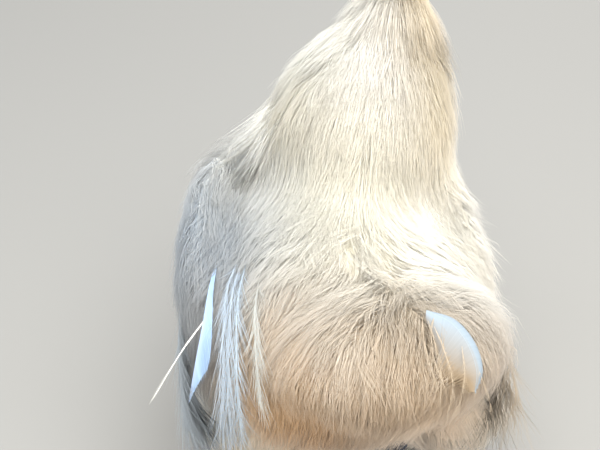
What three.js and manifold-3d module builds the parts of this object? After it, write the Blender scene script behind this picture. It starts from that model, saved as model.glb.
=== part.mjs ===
// Silkie hen, standing alert with its neck stretched up, at life size in millimetres.
// It faces +Y, its right side is +X and +Z is up. Each solid reaches out to the tips of
// the coat that covers it, so the solids together give the outline of the living bird.
import * as THREE from "three";
import { mergeVertices } from "three/addons/utils/BufferGeometryUtils.js";
import Module from "manifold-3d";

const wasm = await Module();
wasm.setup();

// Driving dimensions
const gap = 0.35; // clearance between neighbouring pieces
const bodyHalfWidth = 114; // trunk with its fluff, at the widest
const bodyFront = 120; // breast, ahead of the middle of the trunk
const bodyBack = 112; // rump, behind it
const bodyHeight = 150; // middle of the trunk above the floor
const headLean = 42; // the head stands this far to the right of the body
const napeHeight = 316;
const skullHeight = 331;
const headTurn = THREE.MathUtils.degToRad(-16); // the head looks a little to the right
const headSize = { length: 40, width: 28, height: 32 };
const eyeRadius = 4.6;
const beakLength = 17;
const legSpread = 40; // half the distance between the feet
const ankleForward = -11; // the feet, ahead of the middle of the trunk, or behind it below 0
const hockHeight = 64;
const shankRadius = 5.2;
const toeRadius = 4;
const toeCentre = 3.5; // the toes' middle above the floor, so that they rest on small flats
const clawLength = 9;

// Each toe's direction in degrees, outwards from straight ahead, its length, and how far its
// root lies from the middle of the foot
const toes = [
  { name: "hind", angle: 168, length: 19, root: -3 },
  { name: "inner", angle: -34, length: 29, root: 2 },
  { name: "middle", angle: 2, length: 40, root: 3 },
  { name: "outer", angle: 38, length: 32, root: 2 },
];

const colours = {
  cream: [0xf1e7cf, 0.9],
  white: [0xf4f2ec, 0.9],
  buff: [0xd9b98a, 0.9],
  mulberry: [0x3a2430, 0.6],
  turquoise: [0x6fb4bd, 0.55],
  slate: [0x3f464f, 0.7],
  horn: [0x59636c, 0.45],
  eye: [0x120c0a, 0.08],
};
const materials = {};
for (const [name, [color, roughness]] of Object.entries(colours)) {
  materials[name] = new THREE.MeshStandardMaterial({ name, color, roughness, metalness: 0 });
}

// Reads a smooth curve through evenly spaced stations at t, from 0 to 1
function along(stations, t) {
  const line = stations.map((value, i) => new THREE.Vector2(i / (stations.length - 1), value));
  return new THREE.SplineCurve(line).getPoint(t).y;
}

// A three.js geometry as a solid
function solid(geometry) {
  const bare = geometry.clone();
  bare.deleteAttribute("normal");
  bare.deleteAttribute("uv");
  const merged = mergeVertices(bare, 1e-3);
  return new wasm.Manifold(new wasm.Mesh({
    numProp: 3,
    vertProperties: merged.attributes.position.array,
    triVerts: new Uint32Array(merged.index.array),
  }));
}

// A closed body drawn along a spine: a sphere whose rings are spread along a curve. half and
// rise are its half-widths, sideways and upwards, at evenly spaced stations. A blunt below 1
// squares off its ends, and grow makes it that much bigger all round, to cut a neighbour with.
function limb({ spine, half, rise = half, up = [0, 0, 1], sides = 14, rings = 10, blunt = 1, grow = 0 }) {
  const curve = new THREE.CatmullRomCurve3(spine.map((point) => new THREE.Vector3(...point)));
  const upward = new THREE.Vector3(...up);
  const geometry = new THREE.SphereGeometry(1, sides, rings);
  const position = geometry.attributes.position;
  const place = new THREE.Vector3();
  for (let i = 0; i < position.count; i++) {
    place.fromBufferAttribute(position, i);
    const t = THREE.MathUtils.clamp((1 - place.y) / 2, 0, 1);
    const ring = Math.hypot(place.x, place.z);
    const fullness = ring > 1e-6 ? ring ** (blunt - 1) : 0;
    const tangent = curve.getTangent(t);
    const across = upward.clone().cross(tangent).normalize();
    const lift = tangent.clone().cross(across);
    const point = curve.getPoint(t);
    point.addScaledVector(tangent, -place.y * grow);
    point.addScaledVector(across, place.x * fullness * (along(half, t) + grow));
    point.addScaledVector(lift, place.z * fullness * (along(rise, t) + grow));
    position.setXYZ(i, point.x, point.y, point.z);
  }
  return solid(geometry);
}

// The same body a gap bigger, as a tool that cuts its neighbours
const cutter = (shape) => limb({ ...shape, grow: gap });

// The largest piece that is left of a body after its neighbours are cut from it
function cut(body, ...tools) {
  const left = tools.reduce((rest, tool) => rest.subtract(tool), body).decompose();
  return left.sort((a, b) => b.volume() - a.volume())[0];
}

const group = new THREE.Group();

function add(name, body, material) {
  const { vertProperties, triVerts } = body.getMesh();
  const geometry = new THREE.BufferGeometry();
  geometry.setAttribute("position", new THREE.BufferAttribute(vertProperties, 3));
  geometry.setIndex(new THREE.BufferAttribute(triVerts, 1));
  geometry.computeVertexNormals();
  const mesh = new THREE.Mesh(geometry, material);
  mesh.name = name;
  group.add(mesh);
}

// Trunk, neck and tail
const trunkShape = {
  spine: [[-4, bodyFront, bodyHeight + 8], [-10, 40, bodyHeight + 6], [-8, -40, bodyHeight - 4],
    [3, -bodyBack, bodyHeight - 6]],
  half: [64, 82, 93, bodyHalfWidth, 98],
  rise: [64, 80, 85, 88, 76],
  sides: 22, rings: 16, blunt: 0.86,
};
const neckShape = {
  spine: [[headLean + 1, 92, napeHeight + 22], [headLean - 11, 80, 282], [14, 58, 232], [5, 36, 184]],
  half: [27, 35, 53, 64, 68, 70, 66],
  rise: [26, 31, 43, 52, 58, 60, 54],
  up: [0, 1, 0],
  sides: 20, rings: 14, blunt: 0.7,
};
const tailShape = {
  spine: [[0, -16, 186], [8, -66, 184], [15, -104, 170], [17, -128, 148]],
  half: [62, 82, 90, 84, 62],
  rise: [40, 52, 60, 62, 48],
  sides: 18, rings: 12, blunt: 0.8,
};
const trunk = limb(trunkShape);
const trunkTool = cutter(trunkShape);
const neckTool = cutter(neckShape);
const tailTool = cutter(tailShape);
add("trunk", trunk, materials.cream);
add("neck", cut(limb(neckShape), trunkTool), materials.cream);
add("tail", cut(limb(tailShape), trunkTool, neckTool), materials.buff);

// Wings: a fluffy bow and coverts, with the frayed flight feathers hanging out below them.
// The left wing is held a little away from the body, so that its flight feathers show, and
// the right one is tucked in lower.
// out holds how far each joint of the wing stands from the body's middle plane.
const wingPoses = {
  left: { side: -1, out: [51, 83, 98, 101], flightOut: [110, 116, 116, 109], thickness: 36, drop: 0 },
  right: { side: 1, out: [32, 63, 79, 87], flightOut: [88, 94, 98, 94], thickness: 26, drop: 10 },
};
const flightTools = {};
for (const [name, { side, out, flightOut, thickness, drop }] of Object.entries(wingPoses)) {
  const wingShape = {
    spine: [[side * out[0], 84, 214 - drop], [side * out[1], 48, 203 - drop],
      [side * out[2], -4, 178 - drop], [side * out[3], -50, 148 - drop]],
    half: [thickness / 2 - 1, thickness / 2, thickness / 2, thickness / 2 - 4],
    rise: [30, 40, 44, 28],
    sides: 14, rings: 12, blunt: 0.75,
  };
  const flightShape = {
    spine: [[side * flightOut[0], -6, 172 - drop], [side * flightOut[1], -36, 156 - drop],
      [side * flightOut[2], -66, 138 - drop], [side * flightOut[3], -94, 118 - drop]],
    half: [5, 8, 7, 3],
    rise: [16, 26, 28, 16],
    sides: 10, rings: 10, blunt: 0.7,
  };
  const wingTool = cutter(wingShape);
  add(`${name}_wing`, cut(limb(wingShape), trunkTool, neckTool, tailTool), materials.white);
  flightTools[name] = cutter(flightShape);
  add(`${name}_flight_feathers`, cut(limb(flightShape), trunkTool, tailTool, wingTool), materials.white);
}

// Legs: a fluffy thigh, a shank with its foot pad, a boot of feathers on its outer side,
// four toes on the floor, a fifth that curls up behind, and a claw on each
const aboveFloor = (body) => body.trimByPlane([0, 0, 1], 0);
for (const [name, side] of [["left", -1], ["right", 1]]) {
  const foot = new THREE.Vector3(side * legSpread, ankleForward, toeCentre);
  const thighShape = {
    spine: [[side * 60, -26, 126], [side * 60, -30, 96], [side * 54, -29, 68], [side * 45, -24, 44]],
    half: [48, 54, 50, 36, 18],
    rise: [62, 68, 62, 42, 20],
    up: [0, 1, 0],
    sides: 16, rings: 10, blunt: 0.8,
  };
  const shankShape = {
    spine: [[foot.x + side * 2, foot.y - 16, hockHeight], [foot.x + side, foot.y - 8, 38],
      [foot.x, foot.y - 1, 12], [foot.x, foot.y + 4, 2]],
    half: [shankRadius + 1, shankRadius, shankRadius, shankRadius + 1, shankRadius + 3],
    up: [0, 1, 0],
    sides: 8, rings: 8, blunt: 0.5,
  };
  const thighTool = cutter(thighShape);
  const shankTool = cutter(shankShape);
  const toeTools = [];
  add(`${name}_thigh`, cut(limb(thighShape), trunkTool, tailTool, flightTools[name]), materials.buff);
  add(`${name}_shank`, aboveFloor(cut(limb(shankShape), thighTool)), materials.slate);

  const outward = (degrees) => {
    const angle = THREE.MathUtils.degToRad(degrees) * side;
    return new THREE.Vector3(Math.sin(angle), Math.cos(angle), 0);
  };
  for (const { name: toe, angle, length, root } of toes) {
    const ahead = outward(angle);
    const at = (reach, height) => {
      const point = foot.clone().addScaledVector(ahead, root + reach);
      return [point.x, point.y, height];
    };
    const toeShape = {
      spine: [at(0, toeCentre + 1), at(length * 0.35, toeCentre), at(length * 0.7, toeCentre),
        at(length, toeCentre)],
      half: [toeRadius + 0.3, toeRadius, toeRadius, toeRadius - 0.5],
      sides: 8, rings: 6, blunt: 0.5,
    };
    const clawShape = {
      spine: [at(length - 3, toeCentre + 0.8), at(length + clawLength * 0.45, toeCentre + 1.4),
        at(length + clawLength, 1.2)],
      half: [1.9, 1.7, 0.5],
      sides: 6, rings: 5, blunt: 0.6,
    };
    const toeBody = cut(limb(toeShape), shankTool, ...toeTools);
    toeTools.push(cutter(toeShape));
    add(`${name}_${toe}_toe`, aboveFloor(toeBody), materials.slate);
    add(`${name}_${toe}_claw`, aboveFloor(cut(limb(clawShape), cutter(toeShape))), materials.horn);
  }

  const back = outward(150);
  const inside = (reach, height) => {
    const point = foot.clone().addScaledVector(back, reach);
    return [point.x - side * reach * 1.1, point.y, height];
  };
  const fifthShape = {
    spine: [inside(3, 15), inside(9, 13), inside(15, 15), inside(20, 21)],
    half: [3.6, 3.3, 3, 2.6],
    sides: 8, rings: 6, blunt: 0.5,
  };
  const fifthClawShape = {
    spine: [inside(19, 19), inside(22, 25), inside(22, 31)],
    half: [1.7, 1.5, 0.5],
    up: [0, 1, 0],
    sides: 6, rings: 5, blunt: 0.6,
  };
  add(`${name}_fifth_toe`, cut(limb(fifthShape), shankTool, ...toeTools), materials.slate);
  add(`${name}_fifth_claw`, cut(limb(fifthClawShape), cutter(fifthShape)), materials.horn);

  const bootShape = {
    spine: [[foot.x + side * 7, foot.y - 12, 58], [foot.x + side * 14, foot.y - 6, 40],
      [foot.x + side * 21, foot.y + 4, 22], [foot.x + side * 33, foot.y + 22, 8]],
    half: [6, 11, 14, 15, 8],
    rise: [7, 12, 15, 11, 5],
    up: [0, 1, 0.4],
    sides: 10, rings: 8, blunt: 0.8,
  };
  const boot = cut(limb(bootShape), thighTool, shankTool, ...toeTools);
  add(`${name}_boot_feathers`, boot.trimByPlane([0, 0, 1], 1.5), materials.cream);
}

// Head, in its own frame: ahead is +Y and the eyes look along X. placed() turns and carries
// a shape from there to the top of the neck.
const headPlace = new THREE.Matrix4()
  .makeRotationZ(headTurn)
  .setPosition(headLean + 2, 102, skullHeight);
const placed = (shape) => ({
  ...shape,
  spine: shape.spine.map((point) => new THREE.Vector3(...point).applyMatrix4(headPlace).toArray()),
  up: new THREE.Vector3(...(shape.up ?? [0, 0, 1])).transformDirection(headPlace).toArray(),
});
const { length: headLength, width: headWidth, height: headHeight } = headSize;
const headShape = placed({
  spine: [[0, -headLength / 2, -2], [0, -6, 0], [0, 8, -1], [0, headLength / 2, -4]],
  half: [headWidth / 2 - 1, headWidth / 2 + 1, headWidth / 2, headWidth / 2 - 4, 6],
  rise: [headHeight / 2 - 1, headHeight / 2 + 1, headHeight / 2 - 1, headHeight / 2 - 5, 6],
  sides: 16, rings: 10, blunt: 0.8,
});
const eyeShape = (side) => placed({
  spine: [[side * (headWidth / 2 - 6.4), 6, 1.5], [side * (headWidth / 2 - 1.2), 6.4, 1.5],
    [side * (headWidth / 2 + 1.2), 6.6, 1.5]],
  half: [eyeRadius, eyeRadius, eyeRadius],
  sides: 12, rings: 8,
});
const upperBeakShape = placed({
  spine: [[0, headLength / 2 - 6, -2.4], [0, headLength / 2 + 4, -2.2],
    [0, headLength / 2 + 10, -5], [0, headLength / 2 - 4 + beakLength, -9.4]],
  half: [6.4, 5.6, 4, 1.2],
  rise: [4.6, 4.2, 3, 0.9],
  sides: 10, rings: 8, blunt: 0.7,
});
const lowerBeakShape = placed({
  spine: [[0, headLength / 2 - 8, -9], [0, headLength / 2, -8.9], [0, headLength / 2 + 8, -9.4]],
  half: [5.2, 4.4, 1.4],
  rise: [2.6, 2.2, 0.8],
  sides: 10, rings: 6, blunt: 0.7,
});
const combShape = placed({
  spine: [[0, 6, 13], [0, 12, 12.4], [0, 19, 8.4], [0, 24, 4.4]],
  half: [4.6, 7, 6.6, 3],
  rise: [3.6, 5.4, 4.8, 2.4],
  sides: 10, rings: 6, blunt: 0.8,
});
const wattleShape = (side) => placed({
  spine: [[side * 5.6, 14.5, -11], [side * 6.6, 14.6, -17], [side * 6.4, 14.4, -24]],
  half: [1.9, 2.5, 1.9],
  rise: [4.2, 5.4, 3.6],
  up: [0, 1, 0],
  sides: 10, rings: 6, blunt: 0.8,
});
const lobeShape = (side) => placed({
  spine: [[side * 13.4, -2.4, -3], [side * 14, -2.6, -8], [side * 13.4, -2.6, -13.4]],
  half: [1.9, 2.3, 1.8],
  rise: [3.6, 4.4, 3.2],
  up: [0, 1, 0],
  sides: 12, rings: 8, blunt: 0.8,
});
const crestShape = placed({
  spine: [[0, 14, 14], [0, 3, 17], [0, -15, 17], [0, -34, 10]],
  half: [16, 30, 38, 38, 26],
  rise: [9, 21, 26, 27, 18],
  sides: 16, rings: 11, blunt: 0.85,
});
const headTool = cutter(headShape);
const combTool = cutter(combShape);
const upperBeakTool = cutter(upperBeakShape);
const lowerBeakTool = cutter(lowerBeakShape);
const eyeTools = [-1, 1].map((side) => cutter(eyeShape(side)));
const lobeTools = [-1, 1].map((side) => cutter(lobeShape(side)));
add("head", cut(limb(headShape), neckTool, upperBeakTool, lowerBeakTool, ...eyeTools), materials.mulberry);
add("upper_beak", limb(upperBeakShape), materials.horn);
add("lower_beak", cut(limb(lowerBeakShape), upperBeakTool), materials.horn);
add("comb", cut(limb(combShape), headTool, upperBeakTool), materials.mulberry);
for (const [name, side, i] of [["left", -1, 0], ["right", 1, 1]]) {
  add(`${name}_eye`, limb(eyeShape(side)), materials.eye);
  const wattle = cut(limb(wattleShape(side)), headTool, lowerBeakTool, upperBeakTool, neckTool);
  const lobe = cut(limb(lobeShape(side)), headTool, neckTool, eyeTools[i]);
  add(`${name}_wattle`, wattle, materials.mulberry);
  add(`${name}_earlobe`, lobe, materials.turquoise);
}
add("crest", cut(limb(crestShape), headTool, neckTool, combTool, ...eyeTools, ...lobeTools), materials.white);

// The origin is at the bottom of the model, in the middle of its bounding box
const box = new THREE.Box3().setFromObject(group);
const middle = box.getCenter(new THREE.Vector3());
group.position.set(-middle.x, -middle.y, -box.min.z);

export default group;
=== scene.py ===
import math

import bmesh
import bpy
import numpy as np
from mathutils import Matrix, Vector, noise
from mathutils.bvhtree import BVHTree
from mathutils.kdtree import KDTree


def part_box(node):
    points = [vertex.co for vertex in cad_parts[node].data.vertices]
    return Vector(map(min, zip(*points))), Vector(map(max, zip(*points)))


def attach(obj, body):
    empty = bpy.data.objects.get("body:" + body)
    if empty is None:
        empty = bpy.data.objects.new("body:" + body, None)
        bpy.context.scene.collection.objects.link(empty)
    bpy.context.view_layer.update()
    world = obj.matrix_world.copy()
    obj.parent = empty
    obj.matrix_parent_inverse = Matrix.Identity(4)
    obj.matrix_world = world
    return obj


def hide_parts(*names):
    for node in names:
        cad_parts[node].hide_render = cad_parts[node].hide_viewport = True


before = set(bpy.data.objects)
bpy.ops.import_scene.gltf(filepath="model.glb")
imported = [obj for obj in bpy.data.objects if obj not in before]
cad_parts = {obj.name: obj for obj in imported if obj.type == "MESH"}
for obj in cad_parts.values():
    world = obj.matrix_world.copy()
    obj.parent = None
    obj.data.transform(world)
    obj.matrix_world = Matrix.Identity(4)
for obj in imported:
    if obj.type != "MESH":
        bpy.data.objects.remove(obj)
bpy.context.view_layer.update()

mm = 0.001  # every size and place below is in millimetres, in the model's own frame
down = np.array((0.0, 0.0, -1.0))


# Small helpers: vectors, curves and colours

def unit(vectors):
    return vectors / np.maximum(np.linalg.norm(vectors, axis=-1, keepdims=True), 1e-9)


def smoothStep(low, high, value):
    t = np.clip((value - low) / (high - low), 0, 1)
    return t * t * (3 - 2 * t)


def tone(red, green, blue):
    # a colour as a screen shows it, 0 to 255, turned into the linear value a shader takes
    value = np.array((red, green, blue)) / 255
    return np.where(value <= 0.04045, value / 12.92, ((value + 0.055) / 1.055) ** 2.4)


def readCurve(stations, t):
    # a smooth curve through evenly spaced stations, read at t from 0 to 1
    points = np.asarray(stations, float)
    pad = np.concatenate([[2 * points[0] - points[1]], points, [2 * points[-1] - points[-2]]])
    place = np.clip(np.asarray(t, float), 0, 1) * (len(points) - 1)
    i = np.minimum(place.astype(int), len(points) - 2)
    f = (place - i).reshape(place.shape + (1,) * (points.ndim - 1))
    a, b, c, d = pad[i], pad[i + 1], pad[i + 2], pad[i + 3]
    bend = 2 * a - 5 * b + 4 * c - d
    return 0.5 * (2 * b + (c - a) * f + bend * f**2 + (3 * b - a - 3 * c + d) * f**3)


# Closed bodies as arrays: a body is its points and its triangles

def limb(spine, half, rise=None, up=(0, 0, 1), sides=24, rings=20, blunt=1.0):
    # a sphere whose rings are spread along a spine; half and rise are its half-widths there
    rise = half if rise is None else rise
    angle = np.linspace(0, math.pi, rings + 1)
    t = (1 - np.cos(angle)) / 2
    full = np.sin(angle) ** blunt
    centre = readCurve(spine, t)
    ahead = unit(readCurve(spine, t + 0.01) - readCurve(spine, t - 0.01))
    across = unit(np.cross(np.broadcast_to(up, ahead.shape), ahead))
    lift = np.cross(ahead, across)
    turn = np.linspace(0, 2 * math.pi, sides, endpoint=False)
    wide = np.cos(turn)[None, :, None] * (readCurve(half, t) * full)[:, None, None]
    high = np.sin(turn)[None, :, None] * (readCurve(rise, t) * full)[:, None, None]
    ring = centre[:, None] + across[:, None] * wide + lift[:, None] * high
    points = np.concatenate([centre[:1], ring[1:-1].reshape(-1, 3), centre[-1:]])
    j = np.arange(sides)
    k = (j + 1) % sides
    last = 1 + (rings - 2) * sides
    faces = [np.stack([0 * j, 1 + k, 1 + j], 1)]
    for row in range(1, last, sides):
        faces.append(np.stack([row + j, row + k, row + sides + k], 1))
        faces.append(np.stack([row + j, row + sides + k, row + sides + j], 1))
    faces.append(np.stack([0 * j + last + sides, last + j, last + k], 1))
    return points, np.concatenate(faces)


def ringBody(centre, axis, radius, thickness, squash=1.0, sides=40, around=12):
    # a round ring, such as an eyelid, about an axis
    axis = unit(np.array(axis, float))
    first = unit(np.cross((0, 0, 1), axis))
    second = np.cross(axis, first)
    turn = np.linspace(0, 2 * math.pi, sides, endpoint=False)[:, None, None]
    roll = np.linspace(0, 2 * math.pi, around, endpoint=False)[None, :, None]
    outward = np.cos(turn) * first + np.sin(turn) * second * squash
    reach = radius + thickness * np.cos(roll)
    points = np.array(centre) + outward * reach + axis * thickness * np.sin(roll)
    index = np.arange(sides * around).reshape(sides, around)
    a, b = index, np.roll(index, -1, 0)
    c, d = np.roll(b, -1, 1), np.roll(index, -1, 1)
    faces = np.concatenate([np.stack([a, b, c], -1), np.stack([a, c, d], -1)]).reshape(-1, 3)
    return points.reshape(-1, 3), faces


def joined(bodies):
    start = np.cumsum([0] + [len(points) for points, _ in bodies])
    faces = [faces + offset for (_, faces), offset in zip(bodies, start)]
    return np.concatenate([points for points, _ in bodies]), np.concatenate(faces)


def meshObject(name, body):
    points, faces = body
    mesh = bpy.data.meshes.new(name)
    mesh.vertices.add(len(points))
    mesh.vertices.foreach_set("co", (points * mm).astype(np.float32).ravel())
    mesh.loops.add(faces.size)
    mesh.loops.foreach_set("vertex_index", faces.astype(np.int32).ravel())
    mesh.polygons.add(len(faces))
    mesh.polygons.foreach_set("loop_start", np.arange(0, faces.size, 3, dtype=np.int32))
    mesh.polygons.foreach_set("use_smooth", np.ones(len(faces), bool))
    mesh.update(calc_edges=True)
    piece = bpy.data.objects.new(name, mesh)
    bpy.context.scene.collection.objects.link(piece)
    return piece


def paintedPiece(name, body, attribute, colours, finish):
    piece = meshObject(name, body)
    shade = piece.data.color_attributes.new(attribute, "FLOAT_COLOR", "POINT")
    shade.data.foreach_set("color", np.concatenate([colours, np.ones((len(colours), 1))], 1).ravel())
    piece.data.materials.append(finish)
    return piece


def bodyOf(mesh):
    mesh.calc_loop_triangles()
    points = np.empty(len(mesh.vertices) * 3, np.float32)
    faces = np.empty(len(mesh.loop_triangles) * 3, np.int32)
    mesh.vertices.foreach_get("co", points)
    mesh.loop_triangles.foreach_get("vertices", faces)
    return points.reshape(-1, 3).astype(float) / mm, faces.reshape(-1, 3)


def finishedMesh(piece):
    # the piece with its modifiers applied, as a body; the working object is removed
    bpy.context.view_layer.update()
    shown = piece.evaluated_get(bpy.context.evaluated_depsgraph_get())
    mesh = bpy.data.meshes.new_from_object(shown)
    body = bodyOf(mesh)
    bpy.data.objects.remove(piece)
    return body


def fused(bodies, voxel):
    # overlapping bodies become one closed skin with cells of that size
    piece = meshObject("fusing", joined(bodies))
    remesh = piece.modifiers.new("fuse", "REMESH")
    remesh.mode = "VOXEL"
    remesh.voxel_size = voxel * mm
    return finishedMesh(piece)


def united(bodies):
    first, *others = [meshObject("uniting", body) for body in bodies]
    for other in others:
        union = first.modifiers.new("union", "BOOLEAN")
        union.operation = "UNION"
        union.solver = "MANIFOLD"
        union.object = other
    body = finishedMesh(first)
    for other in others:
        bpy.data.objects.remove(other)
    return body


def cadBody(node, grow=0.0):
    # a CAD node's solid with its loose triangles merged, as a body grown by that much
    work = bmesh.new()
    work.from_mesh(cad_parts[node].data)
    bmesh.ops.remove_doubles(work, verts=work.verts, dist=1e-6)
    mesh = bpy.data.meshes.new(node)
    work.to_mesh(mesh)
    work.free()
    points, faces = bodyOf(mesh)
    return points + pointNormals((points, faces)) * grow, faces


def pointNormals(body):
    points, faces = body
    a, b, c = (points[faces[:, i]] for i in range(3))
    normal = np.cross(b - a, c - a)
    corners = faces.ravel()
    total = [np.bincount(corners, np.repeat(column, 3), len(points)) for column in normal.T]
    return unit(np.stack(total, -1))


def smoothed(values, faces, rounds, weight=0.5):
    # each point's value drawn towards the mean of its neighbours'
    near = faces.ravel()
    far = np.roll(faces, -1, 1).ravel()
    count = np.maximum(np.bincount(near, minlength=len(values)), 1)[:, None]
    flat = values.reshape(len(values), -1).astype(float)
    for _ in range(rounds):
        mean = np.stack([np.bincount(near, column[far], len(values)) for column in flat.T], -1) / count
        flat += weight * (mean - flat)
    return flat.reshape(values.shape)


def treeOf(body):
    return BVHTree.FromPolygons(body[0].tolist(), body[1].tolist())


def gapsTo(tree, points):
    return np.array([tree.find_nearest(point)[3] for point in points.tolist()])


def pointTree(points):
    tree = KDTree(len(points))
    for i, point in enumerate(points.tolist()):
        tree.insert(point, i)
    tree.balance()
    return tree


def noiseAt(points, scale):
    return np.array([noise.noise(Vector(point) * scale) for point in points.tolist()])


def within(values, limits):
    return (values > limits[0]) & (values < limits[1])


# The places that the CAD solids give

bothSides = {"left": -1, "right": 1}
modelPlan = {
    "head": np.array((44.0, 102.0, 331.0)),  # middle of the head from the body's middle
    "eyeAhead": 6.4,
    "eyeAbove": 1.5,
}


def boxMiddle(node):
    low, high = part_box(node)
    return np.array((low + high) / 2) / mm


eyeMiddles = {name: boxMiddle(f"{name}_eye") for name in bothSides}
headAcross = unit(eyeMiddles["right"] - eyeMiddles["left"])
headAhead = unit(np.cross((0, 0, 1), headAcross))
headPlace = (eyeMiddles["left"] + eyeMiddles["right"]) / 2
headPlace = headPlace - headAhead * modelPlan["eyeAhead"] + down * modelPlan["eyeAbove"]
bodyMiddle = headPlace - modelPlan["head"]


def inHead(points):
    # from the head's own frame, where +Y is ahead and +X is its right, to the model's
    points = np.asarray(points, float)
    return headPlace + points[..., :1] * headAcross + points[..., 1:2] * headAhead - points[..., 2:] * down


def fromHead(points):
    offset = points - headPlace
    return np.stack([offset @ headAcross, offset @ headAhead, offset[..., 2]], -1)


def headLimb(spine, **shape):
    points, faces = limb(spine, **shape)
    return inHead(points), faces


# The body under the coat: the solids fused, then drawn in by the depth of the coat

bodyLook = {
    "cell": 4.2,
    "grow": 0.4,  # closes the thin gaps between the solids
    "steps": 6,  # the skin is drawn in by this many steps
    "foldTurn": 0.5,  # skin that faces the hull's way by less than this is a fold
    "foldRounds": 14,
    "thinnest": 5,  # least depth of the coat
}
# where the coat stands higher or lower than the solids: middle, reach and extra depth
coatLifts = [((-48, 66, 232), 28, 14), ((-94, 46, 222), 36, -6), ((84, -112, 172), 36, -12)]
# for each solid under the coat: the coat's depth over the skin, its length, and how far its tips
# hang clear of the body
coatPlan = {
    "trunk": (17, 46, 0.2),
    "neck": (12, 56, 0.1),
    "tail": (25, 70, 1.1),
    "left_wing": (9, 42, 0.3),
    "right_wing": (9, 32, 0.5),
    "left_thigh": (15, 42, 0.8),
    "right_thigh": (15, 42, 0.8),
}


def grownSolids(nodes):
    return [cadBody(node, grow=bodyLook["grow"]) for node in nodes]


def makeHull():
    # the coat's outer surface: the solids of body, neck and crested head as one
    return fused(grownSolids([*coatPlan, "head", "crest"]), bodyLook["cell"])


def makeBody():
    solids = grownSolids(coatPlan)
    hull, faces = fused(solids, bodyLook["cell"])
    hull = smoothed(hull, faces, 6)
    reach = np.stack([gapsTo(treeOf(solid), hull) for solid in solids], 1)
    share = smoothed(np.eye(len(solids))[reach.argmin(1)], faces, 12)
    depth = share @ [plan[0] for plan in coatPlan.values()]
    outward = pointNormals((hull, faces))
    skin = hull
    for _ in range(bodyLook["steps"]):
        skin = skin - unit(outward + pointNormals((skin, faces))) * (depth / bodyLook["steps"])[:, None]
        skin = smoothed(skin, faces, 2)
        # thin edges that have turned inside out are drawn in until they lie smooth
        against = (pointNormals((skin, faces)) * outward).sum(1) < bodyLook["foldTurn"]
        folded = smoothed(against.astype(float), faces, 4)[:, None] > 0.03
        skin = np.where(folded, smoothed(skin, faces, bodyLook["foldRounds"]), skin)
    return (skin, faces), share


# The head, modelled in its own frame: skull, brows, cheeks, lids, comb, wattles and lobes

headLook = {
    "cell": 0.55,
    "eyeRadius": 4.6,
    "eyeOut": 10.5,  # middle of the eyeball from the middle of the head
    "lidOpening": 4.1,
    "lidThickness": 0.85,
    "lidOut": 2.5,
    "lidTurn": 0.16,  # how far the lids face ahead
    "foldRadius": 6.2,
    "foldThickness": 1.0,
    "foldOut": 0.2,
    "blend": 9,  # rounds that soften the face between its folds
    "combLumps": 54,
    "lumpSizes": (1.1, 1.9),
    "grain": [0.16, 0.2, 0.14, 0.06, 0.1],  # on face, comb, wattles, lobes and throat
    "wrinkle": 0.22,
    "bareBehind": -7,  # behind this the head is feathered
    "seed": 11,
}
skullShape = {
    "spine": [[0, -20, -2], [0, -6, 0], [0, 8, -1], [0, 19, -4]],
    "half": [12, 14, 12.8, 9.4, 5.6], "rise": [14, 15.6, 14, 10.4, 5.4],
    "blunt": 0.8, "sides": 48, "rings": 40,
}
throatShape = {
    "spine": [[0, 12, -9], [0, 2, -12], [0, -8, -20], [1, -11, -34], [0, -14, -50]],
    "half": [5, 9, 11, 11.5, 10], "blunt": 0.7, "up": (0, 1, 0.2), "sides": 40, "rings": 36,
}
combShape = {
    "spine": [[0, 6, 12.6], [0, 12, 12], [0, 19, 8.2], [0, 23.4, 4.6]],
    "half": [4, 6.2, 5.8, 2.6], "rise": [3, 4.6, 4.1, 2], "blunt": 0.8,
}
# what the face has on both sides, given for its right
browShape = {
    "spine": [[8.6, -6, 5.4], [11.2, 2, 7.8], [9.6, 10, 6.6], [5.4, 16, 3.4]],
    "half": [1.8, 2.6, 2.4, 1.4], "rise": [1.6, 2.2, 2, 1.2],
}
cheekShape = {
    "spine": [[8.4, -4, -5.4], [9.2, 4, -6.6], [6.8, 12, -7.6], [3.6, 17, -7.4]],
    "half": [3.4, 4.6, 4, 2.4], "rise": [4.4, 5.2, 4, 2.4],
}
loreShape = {
    "spine": [[9.2, 9, 0.4], [7.6, 14, -0.6], [4.6, 19, -2.6]],
    "half": [3.6, 3.8, 2.6], "rise": [5, 4.6, 3],
}
wattleShape = {
    "spine": [[5.2, 15.2, -8.4], [6.2, 15, -14], [6.8, 14.4, -19], [6.2, 14, -24]],
    "half": [1.5, 1.7, 2.1, 1.4], "rise": [3, 4.8, 5.2, 3], "up": (0, 1, 0), "blunt": 0.8,
}
lobeShape = {
    "spine": [[12.8, -2.4, -3], [13.8, -2.6, -8], [13, -2.6, -13.6]],
    "half": [1.6, 2.1, 1.6], "rise": [3.4, 4.3, 3.1], "up": (0, 1, 0), "blunt": 0.8,
}


def onSide(shape, side):
    return headLimb(**{**shape, "spine": np.array(shape["spine"], float) * (side, 1, 1)})


def makeComb():
    look = headLook
    comb = [headLimb(**combShape)]
    lumps = np.random.default_rng(look["seed"])
    points = comb[0][0]
    normals = pointNormals(comb[0])
    for i in lumps.choice(len(points), look["combLumps"], replace=False):
        size = lumps.uniform(*look["lumpSizes"])
        centre = points[i] - normals[i] * size * 0.35
        spine = [centre - normals[i] * size, centre, centre + normals[i] * size]
        comb.append(limb(spine, half=[size] * 3, up=(0.3, 0.5, 0.8), sides=12, rings=8))
    return comb


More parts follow.
